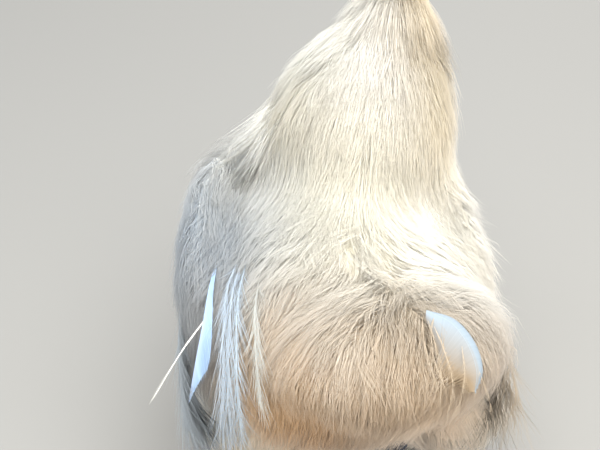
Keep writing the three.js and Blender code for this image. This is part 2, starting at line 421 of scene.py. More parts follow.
def makeHead():
    look = headLook
    comb = makeComb()
    flesh, wattles, lobes = [headLimb(**skullShape)], [], []
    for side in bothSides.values():
        eye = (side * look["eyeOut"], modelPlan["eyeAhead"], modelPlan["eyeAbove"])
        lid = np.array(eye) + (side * look["lidOut"], 0, 0)
        fold = np.array(eye) + (side * look["foldOut"], 0, 0)
        axis = headAcross + headAhead * side * look["lidTurn"]
        flesh.append(ringBody(inHead(lid), axis, look["lidOpening"], look["lidThickness"], 0.92))
        flesh.append(ringBody(inHead(fold), axis, look["foldRadius"], look["foldThickness"], 0.94))
        flesh += [onSide(shape, side) for shape in (browShape, cheekShape, loreShape)]
        wattles.append(onSide(wattleShape, side))
        lobes.append(onSide(lobeShape, side))
    throat = headLimb(**throatShape)
    parts = {"face": flesh, "comb": comb, "wattle": wattles, "lobe": lobes, "throat": [throat]}
    points, faces = fused([body for bodies in parts.values() for body in bodies], look["cell"])
    points = smoothed(points, faces, 2)
    reach = np.stack([gapsTo(treeOf(joined(bodies)), points) for bodies in parts.values()], 1)
    label = reach.argmin(1)
    eyeGap = np.min([np.linalg.norm(points - eyeMiddles[name], axis=1) for name in bothSides], 0)
    soft = ((label == 0) * smoothStep(look["foldRadius"], look["foldRadius"] + 3, eyeGap))[:, None]
    points = points + (smoothed(points, faces, look["blend"]) - points) * soft
    normals = pointNormals((points, faces))
    wrinkle = look["wrinkle"] * np.abs(noiseAt(points, 0.42)) * (label < 3)
    bump = np.choose(label, look["grain"]) * noiseAt(points, 1.1) - wrinkle
    return (points + normals * bump[:, None], faces), np.array(list(parts))[label]


# The legs: shanks and toes with their pads and scutes

legLook = {
    "cell": 0.66,
    "spread": 40,
    "ankleAhead": -11,
    "toeHeight": 3.5,
    "shank": (6.0, 5.6, 5.0, 5.1, 6.2, 7.6),
    "shankLine": ((6, -22, 96), (2, -16, 64), (1, -8, 38), (0, -1, 12), (0, 4, 2)),
    "scutePitch": 2.5,
    "scuteDepth": 0.34,
    "pebbleDepth": 0.14,
    "knuckles": [4.3, 3.7, 4.1, 3.5, 3.9, 3.2, 3.4, 2.7],
    "fifthTurn": 150,
    "fifthLine": ((3, 15), (9, 13), (15, 15), (20, 21)),  # the fifth toe's reach back and its height
    "fifthKnuckles": [3.6, 3, 3.3, 2.7, 2.8, 2.2],
    "shankFrom": 13,  # above this the scutes run across the shank, below it across the toes
    "sole": 0.1,  # the soles are flat at this height
}
# each toe's direction outwards from straight ahead, its length, and its root from the foot's middle
toePlan = {"hind": (168, 19, -3), "inner": (-34, 29, 2), "middle": (2, 40, 3), "outer": (38, 32, 2)}


def footMiddle(side):
    return bodyMiddle + (side * legLook["spread"], legLook["ankleAhead"], legLook["toeHeight"])


def toeLine(side, toe):
    angle, length, root = toePlan[toe]
    turn = math.radians(angle) * side
    ahead = np.array((math.sin(turn), math.cos(turn), 0))
    start = footMiddle(side) + ahead * root
    return start, ahead, length


def fifthToeLine(side):
    turn = math.radians(legLook["fifthTurn"]) * side
    back = np.array((math.sin(turn), math.cos(turn), 0)) - (side * 1.1, 0, 0)
    foot = footMiddle(side) * (1, 1, 0)
    return [foot + back * reach + (0, 0, height) for reach, height in legLook["fifthLine"]]


def makeLeg(side):
    look = legLook
    foot = footMiddle(side) * (1, 1, 0)
    shankSpine = foot + np.array(look["shankLine"]) * (side, 1, 1)
    bodies = [limb(shankSpine, half=look["shank"], up=(0, 1, 0), blunt=0.5, sides=28, rings=50)]
    for toe in toePlan:
        start, ahead, length = toeLine(side, toe)
        spine = [start + (0, 0, 1.4), start + ahead * length * 0.35, start + ahead * length * 0.7,
                 start + ahead * length * 0.98 + (0, 0, 0.2)]
        bodies.append(limb(spine, half=look["knuckles"], blunt=0.5, sides=24, rings=40))
    bodies.append(limb(fifthToeLine(side), half=look["fifthKnuckles"], blunt=0.5, rings=30))
    points, faces = fused(bodies, look["cell"])
    points = smoothed(points, faces, 2)
    normals = pointNormals((points, faces))
    # scutes run across the front of the shank and the tops of the toes
    onShank = points[:, 2] > look["shankFrom"]
    front = smoothStep(-0.2, 0.5, normals[:, 1]) * onShank
    toeReach = np.linalg.norm((points - foot) * (1, 1, 0), axis=1)
    top = smoothStep(0.1, 0.6, normals[:, 2]) * ~onShank
    pitch = look["scutePitch"]
    shankSaw = (points[:, 2] * onShank / pitch) % 1
    toeSaw = (toeReach / (pitch * 0.72)) % 1
    ridge = front * shankSaw**0.6 + top * (1 - toeSaw) ** 0.6
    pebbles = look["pebbleDepth"] * noiseAt(points, 1.3)
    points = points + normals * (look["scuteDepth"] * ridge + pebbles)[:, None]
    points[:, 2] = np.maximum(points[:, 2], look["sole"])
    return points, faces


print("body")
bodySkin, bodyShare = makeBody()
print("head")
headSkin, headLabel = makeHead()
print("legs")
legSkins = [makeLeg(side) for side in bothSides.values()]


# One skin: body, head and legs united, with the coat's fields at each of its points

def makeSkin():
    sources = [bodySkin, headSkin, *legSkins]
    points, faces = united(sources)
    tree = pointTree(np.concatenate([source[0] for source in sources]))
    near = np.array([tree.find(point)[1] for point in points.tolist()])
    onBody, onHead = len(bodySkin[0]), len(bodySkin[0]) + len(headSkin[0])
    share = np.zeros((len(points), len(coatPlan)))
    share[near < onBody] = bodyShare[near[near < onBody]]
    part = np.full(len(points), "leg", dtype="<U8")
    part[near < onBody] = "body"
    head = (near >= onBody) & (near < onHead)
    part[head] = headLabel[near[head] - onBody]
    nape = head & (part == "face") & (fromHead(points)[:, 1] < headLook["bareBehind"])
    part[nape] = "throat"
    share[part == "throat", list(coatPlan).index("neck")] = 1
    return (points, faces), part, share


skinBody, skinPart, skinShare = makeSkin()
skinNormals = pointNormals(skinBody)
skinTree = treeOf(skinBody)
skinDepth = gapsTo(treeOf(makeHull()), skinBody[0])
skinLift = np.zeros(len(skinDepth))
for middle, reach, extra in coatLifts:
    near = np.exp(-((skinBody[0] - middle) ** 2).sum(1) / reach**2)
    skinDepth = np.maximum(skinDepth + extra * near, bodyLook["thinnest"])
    skinLift = np.maximum(skinLift, near * (extra > 0))
print("skin", len(skinBody[1]), "faces")


# How the coat lies: it parts along a line from the crown, down the nape and along the back.
# For each place on the line: how much the coat there runs along it, away from it and down

coatFlow = {
    "line": [(50, 102, 352), (40, 80, 300), (26, 45, 250), (24, 8, 238), (28, -28, 238), (33, -60, 232)],
    "along": (1, 1, 1, 0.9, 0.75, 0.6),
    "away": (0.2, 0.2, 0.35, 0.5, 0.65, 0.75),
    "down": (0.3, 0.3, 0.2, 0.2, 0.35, 0.6),
    "shoulder": (35, 95, 235),  # the wing's coat spreads from here
    "wingTrail": (0.6, -0.8, -0.35),
    "wingFan": {"left": 0.85, "right": 0.3},  # how far the wing's coat fans out from the shoulder
    "thighTrail": (0.3, -0.35, -1),
}


def combCoat():
    points = skinBody[0]
    t = np.linspace(0, 1, 90)
    line = readCurve(coatFlow["line"], t)
    near = np.linalg.norm(points[:, None] - line[None], axis=2).argmin(1)
    along = unit(np.gradient(line, axis=0))[near]
    away = unit(points - line[near])
    strength = [readCurve(coatFlow[name], t)[near][:, None] for name in ("along", "away", "down")]
    flow = unit(strength[0] * along + strength[1] * away + strength[2] * down)
    names = list(coatPlan)
    for name, side in bothSides.items():
        mirror = np.array((side, 1, 1))
        shoulder = np.array(coatFlow["shoulder"]) * mirror
        wing = coatFlow["wingFan"][name] * unit(points - shoulder)
        wing = wing + unit(np.array(coatFlow["wingTrail"]) * mirror)
        thigh = np.broadcast_to(unit(np.array(coatFlow["thighTrail"]) * mirror), points.shape)
        for trail, node in ((wing, "wing"), (thigh, "thigh")):
            share = np.clip(skinShare[:, names.index(f"{name}_{node}")] * 1.6, 0, 1)[:, None]
            flow = flow * (1 - share) + unit(trail) * share
    flow = smoothed(flow, skinBody[1], 30)
    flow -= skinNormals * (flow * skinNormals).sum(1)[:, None]
    return unit(flow)


def coverage():
    # how much of the coat's depth and length each point carries: less near the bare face
    spot = fromHead(skinBody[0])
    cover = np.ones(len(spot))
    throat = smoothStep(-3, -15, spot[:, 2])
    cover[skinPart == "throat"] = 0.3 + 0.7 * throat[skinPart == "throat"]
    return np.where(np.isin(skinPart, ("body", "throat")), cover, 0.0)


def faceMean(values):
    return values[skinBody[1]].mean(1)


skinFlow = combCoat()
skinCover = coverage()
faceNormals, faceFlow = unit(faceMean(skinNormals)), unit(faceMean(skinFlow))
faceShare, faceCover, faceDepth = (faceMean(values) for values in (skinShare, skinCover, skinDepth))
faceLift = faceMean(skinLift)
facePlaces = faceMean(skinBody[0])
faceSpots = fromHead(facePlaces)
facePart = skinPart[skinBody[1]][:, 0]
onThroat = faceMean((skinPart == "throat").astype(float))


# Locks of strands: guide lines that grow over the skin, then strands spread about each guide

def scatter(mask, count, rng):
    # evenly spread roots on the faces that the mask takes: their faces and corner weights
    points, faces = skinBody
    a, b, c = (points[faces[:, i]] for i in range(3))
    area = np.linalg.norm(np.cross(b - a, c - a), axis=1) / 2 * mask
    spacing = 0.74 * math.sqrt(area.sum() / count)
    tries = count * 5
    chosen = rng.choice(len(faces), tries, p=area / area.sum())
    u, v = rng.uniform(size=(2, tries))
    fold = u + v > 1
    u, v = np.where(fold, 1 - u, u), np.where(fold, 1 - v, v)
    weights = np.stack([1 - u - v, u, v], 1)
    places = (points[faces[chosen]] * weights[..., None]).sum(1)
    cells, kept = {}, []
    keys = np.floor(places / spacing).astype(int)
    nearby = [(x, y, z) for x in (-1, 0, 1) for y in (-1, 0, 1) for z in (-1, 0, 1)]
    for i, (key, place) in enumerate(zip(keys.tolist(), places.tolist())):
        around = (cells.get((key[0] + x, key[1] + y, key[2] + z)) for x, y, z in nearby)
        if all(math.dist(place, other) > spacing for found in around if found for other in found):
            cells.setdefault(tuple(key), []).append(place)
            kept.append(i)
        if len(kept) == count:
            break
    return places[kept], chosen[kept], weights[kept]


def turned(vectors, axes, angle):
    # vectors at right angles to their axes, turned about them
    return vectors * np.cos(angle)[:, None] + np.cross(axes, vectors) * np.sin(angle)[:, None]


guideStops = 8  # places along each guide line


def growGuides(look, roots, faces, rng):
    plan = np.array(list(coatPlan.values()))
    _, length, hang = (faceShare[faces] @ plan).T
    # the coat stands up sooner on the thin neck and where it is lifted
    rise = look["rise"] + 3 * onThroat[faces] + 3 * faceLift[faces]
    length = length * (0.3 + 0.7 * faceCover[faces]) * rng.uniform(*look["lengths"], len(roots))
    layer = rng.uniform(*look["layers"], len(roots))
    swerve = rng.normal(0, math.radians(look["swerve"]), len(roots))
    guides = np.empty((len(roots), guideStops, 3))
    normals = np.empty_like(guides)
    guides[:, 0], normals[:, 0] = roots, faceNormals[faces]
    place, face = roots, faces
    for stop in range(1, guideStops):
        t = stop / (guideStops - 1)
        heading = turned(faceFlow[face], faceNormals[face], swerve) + down * (look["droop"] * t)
        place = place + unit(heading) * (length / (guideStops - 1))[:, None]
        found = [skinTree.find_nearest(point) for point in place.tolist()]
        foot = np.array([hit[0] for hit in found])
        face = np.array([hit[2] for hit in found])
        normal = faceNormals[face]
        height = ((place - foot) * normal).sum(1)
        depth = faceDepth[face] * faceCover[face]
        cover = depth * layer * (1 - (1 - t) ** rise)
        height = np.clip(height, cover * 0.8, cover * (1 + hang * t))
        place = foot + normal * height[:, None]
        guides[:, stop], normals[:, stop] = place, normal
    for _ in range(look["soften"]):
        guides, normals = smoothAlong(guides), smoothAlong(normals)
    return guides, unit(normals), length


def smoothAlong(values):
    middle = (values[:, :-2] + 2 * values[:, 1:-1] + values[:, 2:]) / 4
    return np.concatenate([values[:, :1], middle, values[:, -1:]], 1)


def readGuides(guides, t):
    # guides is one line for each lock and t one row of places for each of its strands
    place = np.clip(t, 0, 1) * (guides.shape[1] - 1)
    i = np.minimum(place.astype(int), guides.shape[1] - 2)
    f = (place - i)[..., None]
    lock = np.arange(len(guides))[:, None, None]
    return guides[lock, i] * (1 - f) + guides[lock, i + 1] * f


def spreadStrands(look, guides, normals, length, rng):
    # paths, uprights and sizes for all strands of all locks
    locks, many, stops = len(guides), look["strands"], look["rings"] + 1
    shape = (locks, many, 1)
    t = np.linspace(0, 1, stops) ** 0.85 * rng.uniform(*look["reach"], shape)
    path = readGuides(guides, t)
    upright = unit(readGuides(normals, t))
    ahead = unit(np.gradient(path, axis=2))
    side = unit(np.cross(ahead, upright))
    angle, out = rng.uniform(0, 2 * math.pi, shape), np.sqrt(rng.uniform(0, 1, shape))
    spread = look["radius"] * out * (1 + (look["tipSpread"] - 1) * t)
    across = spread * np.cos(angle)
    above = spread * np.sin(angle) * look["thickness"]
    fray = look["fray"] * length[:, None, None] * t**1.6
    across = across + fray * rng.normal(0, 1, shape)
    above = above + fray * rng.normal(0.1, 0.7, shape)
    loose = (rng.uniform(0, 1, shape) < look["flyaways"]) * rng.uniform(0.4, 1, shape)
    above = above + look["flyawayLift"] * loose * t**2
    phase = rng.uniform(0, 2 * math.pi, shape)
    wave = look["wave"] * t * rng.uniform(0.4, 1.3, shape) * (1 + 3 * loose)
    across = across + wave * np.sin(2 * math.pi * look["waves"] * t + phase)
    above = above + wave * 0.6 * np.cos(2 * math.pi * look["waves"] * t + phase)
    path = path + side * across[..., None] + upright * above[..., None]
    flat = (locks * many, stops)
    return path.reshape(*flat, 3), upright.reshape(*flat, 3), t.reshape(flat)


def strandBody(paths, uprights, radius, flatness=1.0):
    # each strand is a closed tube of three sides that tapers to a tip
    count, stops, _ = paths.shape
    rings = stops - 1
    ahead = unit(np.gradient(paths, axis=1))
    side = unit(np.cross(ahead, uprights))
    lift = np.cross(side, ahead)
    turn = 2 * math.pi * np.arange(3) / 3 + math.pi / 2
    out = side[:, :, None] * np.cos(turn)[:, None] + lift[:, :, None] * np.sin(turn)[:, None] * flatness
    ring = paths[:, :rings, None] + out[:, :rings] * radius[:, :rings, None, None]
    points = np.concatenate([ring.reshape(count, rings * 3, 3), paths[:, -1:]], 1)
    normals = np.concatenate([
        (0.25 * out[:, :rings] + 0.75 * uprights[:, :rings, None]).reshape(count, rings * 3, 3),
        uprights[:, -1:]], 1)
    k, n = np.arange(3), (np.arange(3) + 1) % 3
    faces = [[(0, 1, 2)]]
    for row in range(0, (rings - 1) * 3, 3):
        faces.append(np.stack([row + k, row + 3 + k, row + 3 + n], 1))
        faces.append(np.stack([row + k, row + 3 + n, row + n], 1))
    last = (rings - 1) * 3
    faces.append(np.stack([last + k, 0 * k + rings * 3, last + n], 1))
    faces = np.concatenate([np.array(part) for part in faces])
    start = (np.arange(count) * (rings * 3 + 1))[:, None, None]
    return (points.reshape(-1, 3), (faces[None] + start).reshape(-1, 3)), unit(normals).reshape(-1, 3)


bakePatch = 0.003  # each lock's share of the skin's unwrap, about its root


def bakePlaces(rootPlaces, many, rings):
    # each strand has a column of its own in its lock's patch
    column = (np.arange(many)[:, None] + np.array([0, 0.33, 0.66])) / many - 0.5
    place = np.zeros((len(rootPlaces), many, rings * 3 + 1, 2))
    place[:, :, :-1, 0] = np.tile(column, (1, rings))
    place[:, :, -1, 0] = column[:, 1]
    place[:, :, :-1, 1] = np.repeat(np.linspace(0, 1, rings + 1)[:-1], 3) - 0.5
    place[:, :, -1, 1] = 0.5
    return (rootPlaces[:, None, None] + place * bakePatch).reshape(-1, 2)


def strandGroup(look, paths, uprights, t, shade, rootPlaces, rng):
    # strands with their shape, colour and bake places, ready to join to others in one piece
    rings = paths.shape[1] - 1
    thin = 1 - look["tipTaper"] * np.clip(t, 0, 1) ** 1.4
    radius = look["width"] * rng.uniform(0.75, 1.2, (len(paths), 1)) * thin
    body, normals = strandBody(paths, uprights, radius, look["flatness"])
    shade = shade * (1 + rng.normal(0, look["mottle"], (len(shade), 1)))
    # painted shade: each strand is painted darker towards its root, where it lies deep in the coat
    root = look["rootShade"]
    along = (root + (1 - root) * smoothStep(0, 0.5, t))[..., None] * shade[:, None]
    colours = np.concatenate([np.repeat(along[:, :rings], 3, 1), along[:, -1:]], 1).reshape(-1, 3)
    places = bakePlaces(rootPlaces, len(paths) // len(rootPlaces), rings)
    return body, normals, np.clip(colours, 0, 0.96), places


def coatPiece(name, groups, finish):
    body = joined([group[0] for group in groups])
    normals, colours, places = (np.concatenate([group[i] for group in groups]) for i in (1, 2, 3))
    piece = paintedPiece(name, body, "coatColour", colours, finish)
    mesh = piece.data
    bake = mesh.uv_layers.new(name="OFBake")
    bake.data.foreach_set("uv", places[body[1].ravel()].astype(np.float32).ravel())
    mesh.normals_split_custom_set_from_vertices(normals)
    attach(piece, "root")
    print(name, len(mesh.polygons), "faces")
    return piece


# The coat's colours: cream, whiter on the back, warm buff below the rump, and painted shade: grey on the
# cape's sides, blue-grey on the left wing, grey on the right wing, darker on the rump and under the body

coatTones = {
    "base": tone(251, 246, 230),
    # soft clouds of colour, many of them painted shade: middle, reach in millimetres, colour and strength
    "clouds": [
        ((-5, 0, 235), 70, tone(249, 244, 220), 0.9),
        ((35, 62, 290), 32, tone(252, 251, 246), 0.8),
        # painted shade: the cape's left side greyer
        ((-24, 76, 288), 30, tone(194, 194, 182), 0.8),
        # the next three are painted shade: the white left wing painted blue-grey where it lies in shade
        ((-112, 30, 185), 76, tone(152, 168, 184), 0.95),
        ((-94, 0, 203), 52, tone(120, 136, 152), 0.8),
        ((-108, -42, 160), 38, tone(126, 138, 150), 0.85),
        # painted shade: the right wing's side a light grey
        ((110, 40, 180), 66, tone(216, 213, 202), 0.8),
        # painted shade on the cape's right side, darker and tinted tan
        ((82, 66, 284), 44, tone(164, 140, 88), 0.85),
        ((72, 85, 325), 30, tone(214, 184, 132), 0.7),
        ((82, 34, 250), 28, tone(214, 188, 130), 0.6),
        ((-36, 58, 262), 26, tone(232, 220, 186), 0.6),
        # the next four are painted shade over the rump's pinkish beige: its top, left, right and rear
        # darkened where the rump is shaded
        ((25, -92, 225), 46, tone(162, 152, 134), 0.85),
        ((-32, -80, 205), 36, tone(164, 156, 142), 0.75),
        ((84, -95, 205), 46, tone(138, 134, 126), 0.9),
        ((25, -122, 200), 46, tone(154, 130, 100), 0.85),
        ((20, -125, 160), 44, tone(232, 200, 160), 0.85),
        ((-45, -95, 155), 48, tone(236, 180, 108), 0.9),
        ((74, -110, 128), 48, tone(218, 166, 108), 0.85),
        # the next three are painted shade: buff darkened under the belly, in the crevice between the rump
        # and the right fan, and under the rump
        ((10, -60, 70), 60, tone(178, 138, 100), 0.85),
        ((84, -118, 165), 34, tone(132, 112, 92), 0.8),
        ((5, -124, 136), 36, tone(140, 112, 84), 0.8),
        ((-40, -112, 136), 34, tone(196, 140, 84), 0.6),
    ],
}


def coatToneAndShade(points):
    colour = np.broadcast_to(coatTones["base"], points.shape).copy()
    for middle, reach, shade, strength in coatTones["clouds"]:
        near = strength * np.exp(-((points - middle) ** 2).sum(-1) / reach**2)[..., None]
        colour += (shade - colour) * near
    return colour


# Materials

def addNode(tree, kind, inputs=None, **settings):
    # a node whose inputs hold a value or are linked to another node's output
    node = tree.nodes.new(kind)
    for label, value in settings.items():
        setattr(node, label, value)
    for socket, value in (inputs or {}).items():
        if isinstance(value, bpy.types.NodeSocket):
            tree.links.new(value, node.inputs[socket])
        else:
            node.inputs[socket].default_value = value
    return node


def attributeFinish(name, attribute, **sockets):
    # a shader whose colour is painted on the mesh; the rest is the same all over
    material = bpy.data.materials.new(name)
    material.use_nodes = True
    tree = material.node_tree
    shader = tree.nodes["Principled BSDF"]
    for socket, value in sockets.items():
        shader.inputs[socket].default_value = value
    shade = addNode(tree, "ShaderNodeVertexColor", layer_name=attribute)
    tree.links.new(shade.outputs["Color"], shader.inputs["Base Color"])
    return material


def addGrain(material, scale, depth):
    # fine relief from noise on the object's own coordinates
    tree = material.node_tree
    place = addNode(tree, "ShaderNodeTexCoord").outputs["Object"]
    grain = addNode(tree, "ShaderNodeTexNoise", {"Vector": place, "Scale": scale, "Detail": 4})
    bump = addNode(tree, "ShaderNodeBump", {"Height": grain.outputs["Fac"], "Distance": depth * mm})
    tree.links.new(bump.outputs["Normal"], tree.nodes["Principled BSDF"].inputs["Normal"])


coatFinish = attributeFinish("silky_coat", "coatColour", **{
    "Roughness": 0.62, "Specular IOR Level": 0.3, "Sheen Weight": 0.25, "Sheen Roughness": 0.5,
    "Subsurface Weight": 0.45, "Subsurface Radius": (1, 0.9, 0.75), "Subsurface Scale": 0.003})
vaneFinish = attributeFinish("feather_vane", "coatColour", **{
    "Roughness": 0.55, "Specular IOR Level": 0.2, "Sheen Weight": 0.1, "Sheen Roughness": 0.4})
skinFinish = attributeFinish("mulberry_skin", "skinColour", **{
    "Roughness": 0.5, "Specular IOR Level": 0.45})
addGrain(skinFinish, 900, 0.12)
hornFinish = attributeFinish("slate_horn", "hornColour", **{
    "Roughness": 0.34, "Specular IOR Level": 0.5, "Coat Weight": 0.15, "Coat Roughness": 0.2})
addGrain(hornFinish, 420, 0.06)
eyeFinish = attributeFinish("dark_eye", "eyeColour", **{
    "Roughness": 0.35, "Specular IOR Level": 0.1, "Coat Weight": 0.5, "Coat Roughness": 0.02,
    "Coat IOR": 1.35})


# The skin as a piece, with its own unwrap, from which the coat's bake places are read

bareTones = {
    "face": tone(70, 44, 54),
    "comb": tone(92, 42, 54),
    "wattle": tone(84, 42, 54),
    "lobe": tone(100, 156, 168),
    "leg": tone(66, 72, 84),
}
# painted shade: the feathered skin takes the coat's colour, darkened as the shade beneath the coat
underCoatShade = 0.86  # the feathered skin is this much darker than the coat over it


def skinTones():
    colour = coatToneAndShade(skinBody[0]) * underCoatShade
    for part, shade in bareTones.items():
        colour[skinPart == part] = shade
    return smoothed(colour, skinBody[1], 1)


def skinPiece():
    skin = paintedPiece("skin", skinBody, "skinColour", skinTones(), skinFinish)
    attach(skin, "root")
    flesh = [*coatPlan, "head", "comb"]
    for name in bothSides:
        flesh += [f"{name}_{part}" for part in ("wattle", "earlobe", "shank", "fifth_toe")]
        flesh += [f"{name}_{toe}_toe" for toe in toePlan]
    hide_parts(*flesh)
    return skin


def unwrapped(skin):
    skin.select_set(True)
    bpy.context.view_layer.objects.active = skin
    bpy.ops.object.mode_set(mode="EDIT")
    bpy.ops.mesh.select_all(action="SELECT")
    bpy.ops.uv.smart_project(angle_limit=math.radians(66), island_margin=0.001)
    bpy.ops.object.mode_set(mode="OBJECT")
    places = np.empty(len(skin.data.loops) * 2, np.float32)
    skin.data.uv_layers.active.data.foreach_get("uv", places)
    return places.reshape(-1, 3, 2)


skinUnwrap = unwrapped(skinPiece())
print("unwrap done")


def unwrapAt(faces, weights):
    return (skinUnwrap[faces] * weights[..., None]).sum(1)


# The coat that lies on the body, piece by piece; locks and strands say how many there are

coatCommon = {
    "strands": 23, "rings": 3, "width": 0.14, "flatness": 1.0, "tipTaper": 0.7, "rootShade": 0.98,
    "mottle": 0.02, "radius": 6, "thickness": 0.5, "tipSpread": 1.0, "fray": 0.05, "wave": 1.0,
    "waves": 1.1, "lengths": (0.8, 1.1), "layers": (0.8, 1.04), "reach": (0.72, 1.0), "swerve": 8,
    "droop": 0.2, "rise": 1.7, "flyaways": 0.03, "flyawayLift": 7, "soften": 2, "accents": 0,
    "slot": "cream_coat",
}
# pale pointed locks that lie on top of the softer ones, painted lighter as a highlight
accentLook = {
    "strands": 7, "rings": 5, "width": 0.15, "radius": 1.5, "thickness": 0.8, "tipSpread": 0.25,
    "fray": 0.01, "layers": (0.98, 1.08), "lengths": (0.7, 1.05), "swerve": 13, "flyaways": 0, "wave": 0.4,
}
# painted highlight on the top locks
accentHighlightGain = 1.05  # how much paler they are
# short locks that stand up where the others leave the skin thinly covered
fillLook = {
    "strands": 16, "rise": 6, "lengths": (0.55, 0.8), "layers": (0.7, 1.0), "swerve": 14, "droop": 0.3,
    "near": 8, "enough": 5, "tries": 1.5,
}
coatPieces = {
    "left_hackle_coat": {"locks": 270, "wave": 0.5, "swerve": 5, "tipSpread": 0.8, "fray": 0.03},
    "right_hackle_coat": {"locks": 270, "wave": 0.5, "swerve": 5, "tipSpread": 0.8, "fray": 0.03},
    "bib_coat": {"locks": 95},
    "back_coat": {"locks": 280, "swerve": 16, "wave": 1.4, "accents": 80, "slot": "white_coat"},
    "breast_coat": {"locks": 95},
    "belly_coat": {"locks": 80},
    "left_rump_coat": {"locks": 280, "swerve": 10, "droop": 0.3, "accents": 80, "slot": "buff_coat"},
    "right_rump_coat": {
        "locks": 252, "swerve": 12, "droop": 0.3, "accents": 80, "flyaways": 0.12, "slot": "buff_coat"},
    "left_wing_coat": {"locks": 200, "swerve": 15, "flyaways": 0.08, "accents": 40, "slot": "white_coat"},
    "left_shoulder_coat": {
        "locks": 70, "layers": (0.25, 0.98), "rise": 2, "swerve": 14, "fray": 0.08, "flyaways": 0.04,
        "slot": "white_coat"},
    "right_wing_coat": {"locks": 140, "flyaways": 0.12, "flyawayLift": 10, "slot": "white_coat"},
    "left_thigh_coat": {"locks": 108, "accents": 20, "slot": "buff_coat"},
    "right_thigh_coat": {"locks": 116, "accents": 20, "slot": "buff_coat"},
}
# where one piece of the coat gives way to the next
coatEdges = {
    "covered": 0.15,
    "lifted": 0.25,
    "nape": 0.25,  # faces that look less ahead than this are the nape
    "above": 0.35,  # faces that look up more than this are the back
    "breast": 25,
    "middle": 22,
}


def coatMasks():
    # which faces of the skin each piece of the coat grows from
    names = list(coatPlan)
    top = faceShare.argmax(1)
    covered = faceCover > coatEdges["covered"]
    on = {name: covered & (top == names.index(name)) for name in names}
    nape = faceNormals[:, 1] < coatEdges["nape"]
    above = faceNormals[:, 2] > coatEdges["above"]
    ahead = facePlaces[:, 1] > coatEdges["breast"]
    left = facePlaces[:, 0] < coatEdges["middle"]
    return {
        "left_hackle_coat": on["neck"] & nape & left,
        "right_hackle_coat": on["neck"] & nape & ~left,
        "bib_coat": on["neck"] & ~nape,
        "back_coat": on["trunk"] & above,
        "breast_coat": on["trunk"] & ~above & ahead,
        "belly_coat": on["trunk"] & ~above & ~ahead,
        "left_rump_coat": on["tail"] & left,
        "right_rump_coat": on["tail"] & ~left,
        "left_wing_coat": on["left_wing"],
        "left_shoulder_coat": covered & (faceLift > coatEdges["lifted"]),
        "right_wing_coat": on["right_wing"],
        "left_thigh_coat": on["left_thigh"],
        "right_thigh_coat": on["right_thigh"],
    }


def lockGroup(look, roots, guides, normals, length, rng):
    places, faces, weights = roots
    paths, uprights, t = spreadStrands(look, guides, normals, length, rng)
    shade = coatToneAndShade((paths[:, 1] + paths[:, -1]) / 2)
    shade = shade * (1 + np.repeat(rng.normal(0, look["mottle"], len(places)), look["strands"])[:, None])
    return strandGroup(look, paths, uprights, t, shade, unwrapAt(faces, weights), rng)


def growLocks(look, roots, rng):
    return look, roots, *growGuides(look, roots[0], roots[1], rng)


def thinlyCovered(roots, passing):
    # which roots have few locks passing over them
    places, faces, _ = roots
    over = places + faceNormals[faces] * (faceDepth * faceCover)[faces][:, None] * 0.8
    count = [len(passing.find_range(place, fillLook["near"])) for place in over.tolist()]
    return np.array(count) < fillLook["enough"]


def growCoats():
    masks = coatMasks()
    looks = {name: {**coatCommon, **coatPieces[name]} for name in masks}
    rngs = {name: np.random.default_rng(seed) for seed, name in enumerate(masks)}
    grown = {}
    for name, mask in masks.items():
        look, rng = looks[name], rngs[name]
        grown[name] = [growLocks(look, scatter(mask, look["locks"], rng), rng)]
        if look["accents"]:
            grown[name].append(growLocks({**look, **accentLook}, scatter(mask, look["accents"], rng), rng))
    layers = [layer for found in grown.values() for layer in found]
    stops = np.concatenate([layer[2][:, guideStops // 2:].reshape(-1, 3) for layer in layers])
    passing = pointTree(stops)
    for name, mask in masks.items():
        look = {**looks[name], **fillLook}
        roots = scatter(mask, int(look["locks"] * look["tries"]), rngs[name])
        bare = thinlyCovered(roots, passing)
        if bare.any():
            grown[name].append(growLocks(look, [column[bare] for column in roots], rngs[name]))
        print(name, "has", bare.sum(), "filling locks")
    for name, layers in grown.items():
        groups = [lockGroup(*layer, rngs[name]) for layer in layers]
        if looks[name]["accents"]:
            # the pale locks, painted lighter as a highlight, are the second group
            body, normals, colours, places = groups[1]
            groups[1] = (body, normals, np.clip(colours * accentHighlightGain, 0, 0.97), places)
        coatPiece(name, groups, coatFinish)


growCoats()


# Locks that stand up and arch over: the crest, the nape, the left shoulder and the boots

rayStart = 200  # rays that look for a hull start this far from its middle
archRounds = 3  # rounds that smooth each arched guide line


def hullReach(hull, middle, ways, missed):
    # how far the hull lies from its middle along each way
    hits = [hull.ray_cast(Vector(middle + way * rayStart), Vector(-way)) for way in ways]
    return np.array([other if hit[0] is None else rayStart - hit[3] for hit, other in zip(hits, missed)])


def archGuides(look, roots, heading, middle, hull, rng):
    # guide lines that leave along a heading, sink under their weight and keep inside a hull
    length = rng.uniform(*look["lengths"], len(roots))
    layer = rng.uniform(*look["layers"], len(roots))
    guides = np.repeat(roots[:, None], guideStops, 1)
    for stop in range(1, guideStops):
        t = stop / (guideStops - 1)
        spill = unit((guides[:, stop - 1] - middle) * (1, 1, 0)) * look["spill"] * t
        step = unit(heading + spill + down * look["droop"] * t) * (length / (guideStops - 1))[:, None]
        place = guides[:, stop - 1] + step
        reach = np.linalg.norm(place - middle, axis=1)
        ways = unit(place - middle)
        limit = hullReach(hull, middle, ways, reach / layer) * layer
        place = np.where((reach > limit)[:, None], middle + ways * limit[:, None], place)
        place[:, 2] = np.maximum(place[:, 2], look["floor"])
        guides[:, stop] = place
    for _ in range(archRounds):
        guides = smoothAlong(guides)
    return guides, unit(guides - middle), length


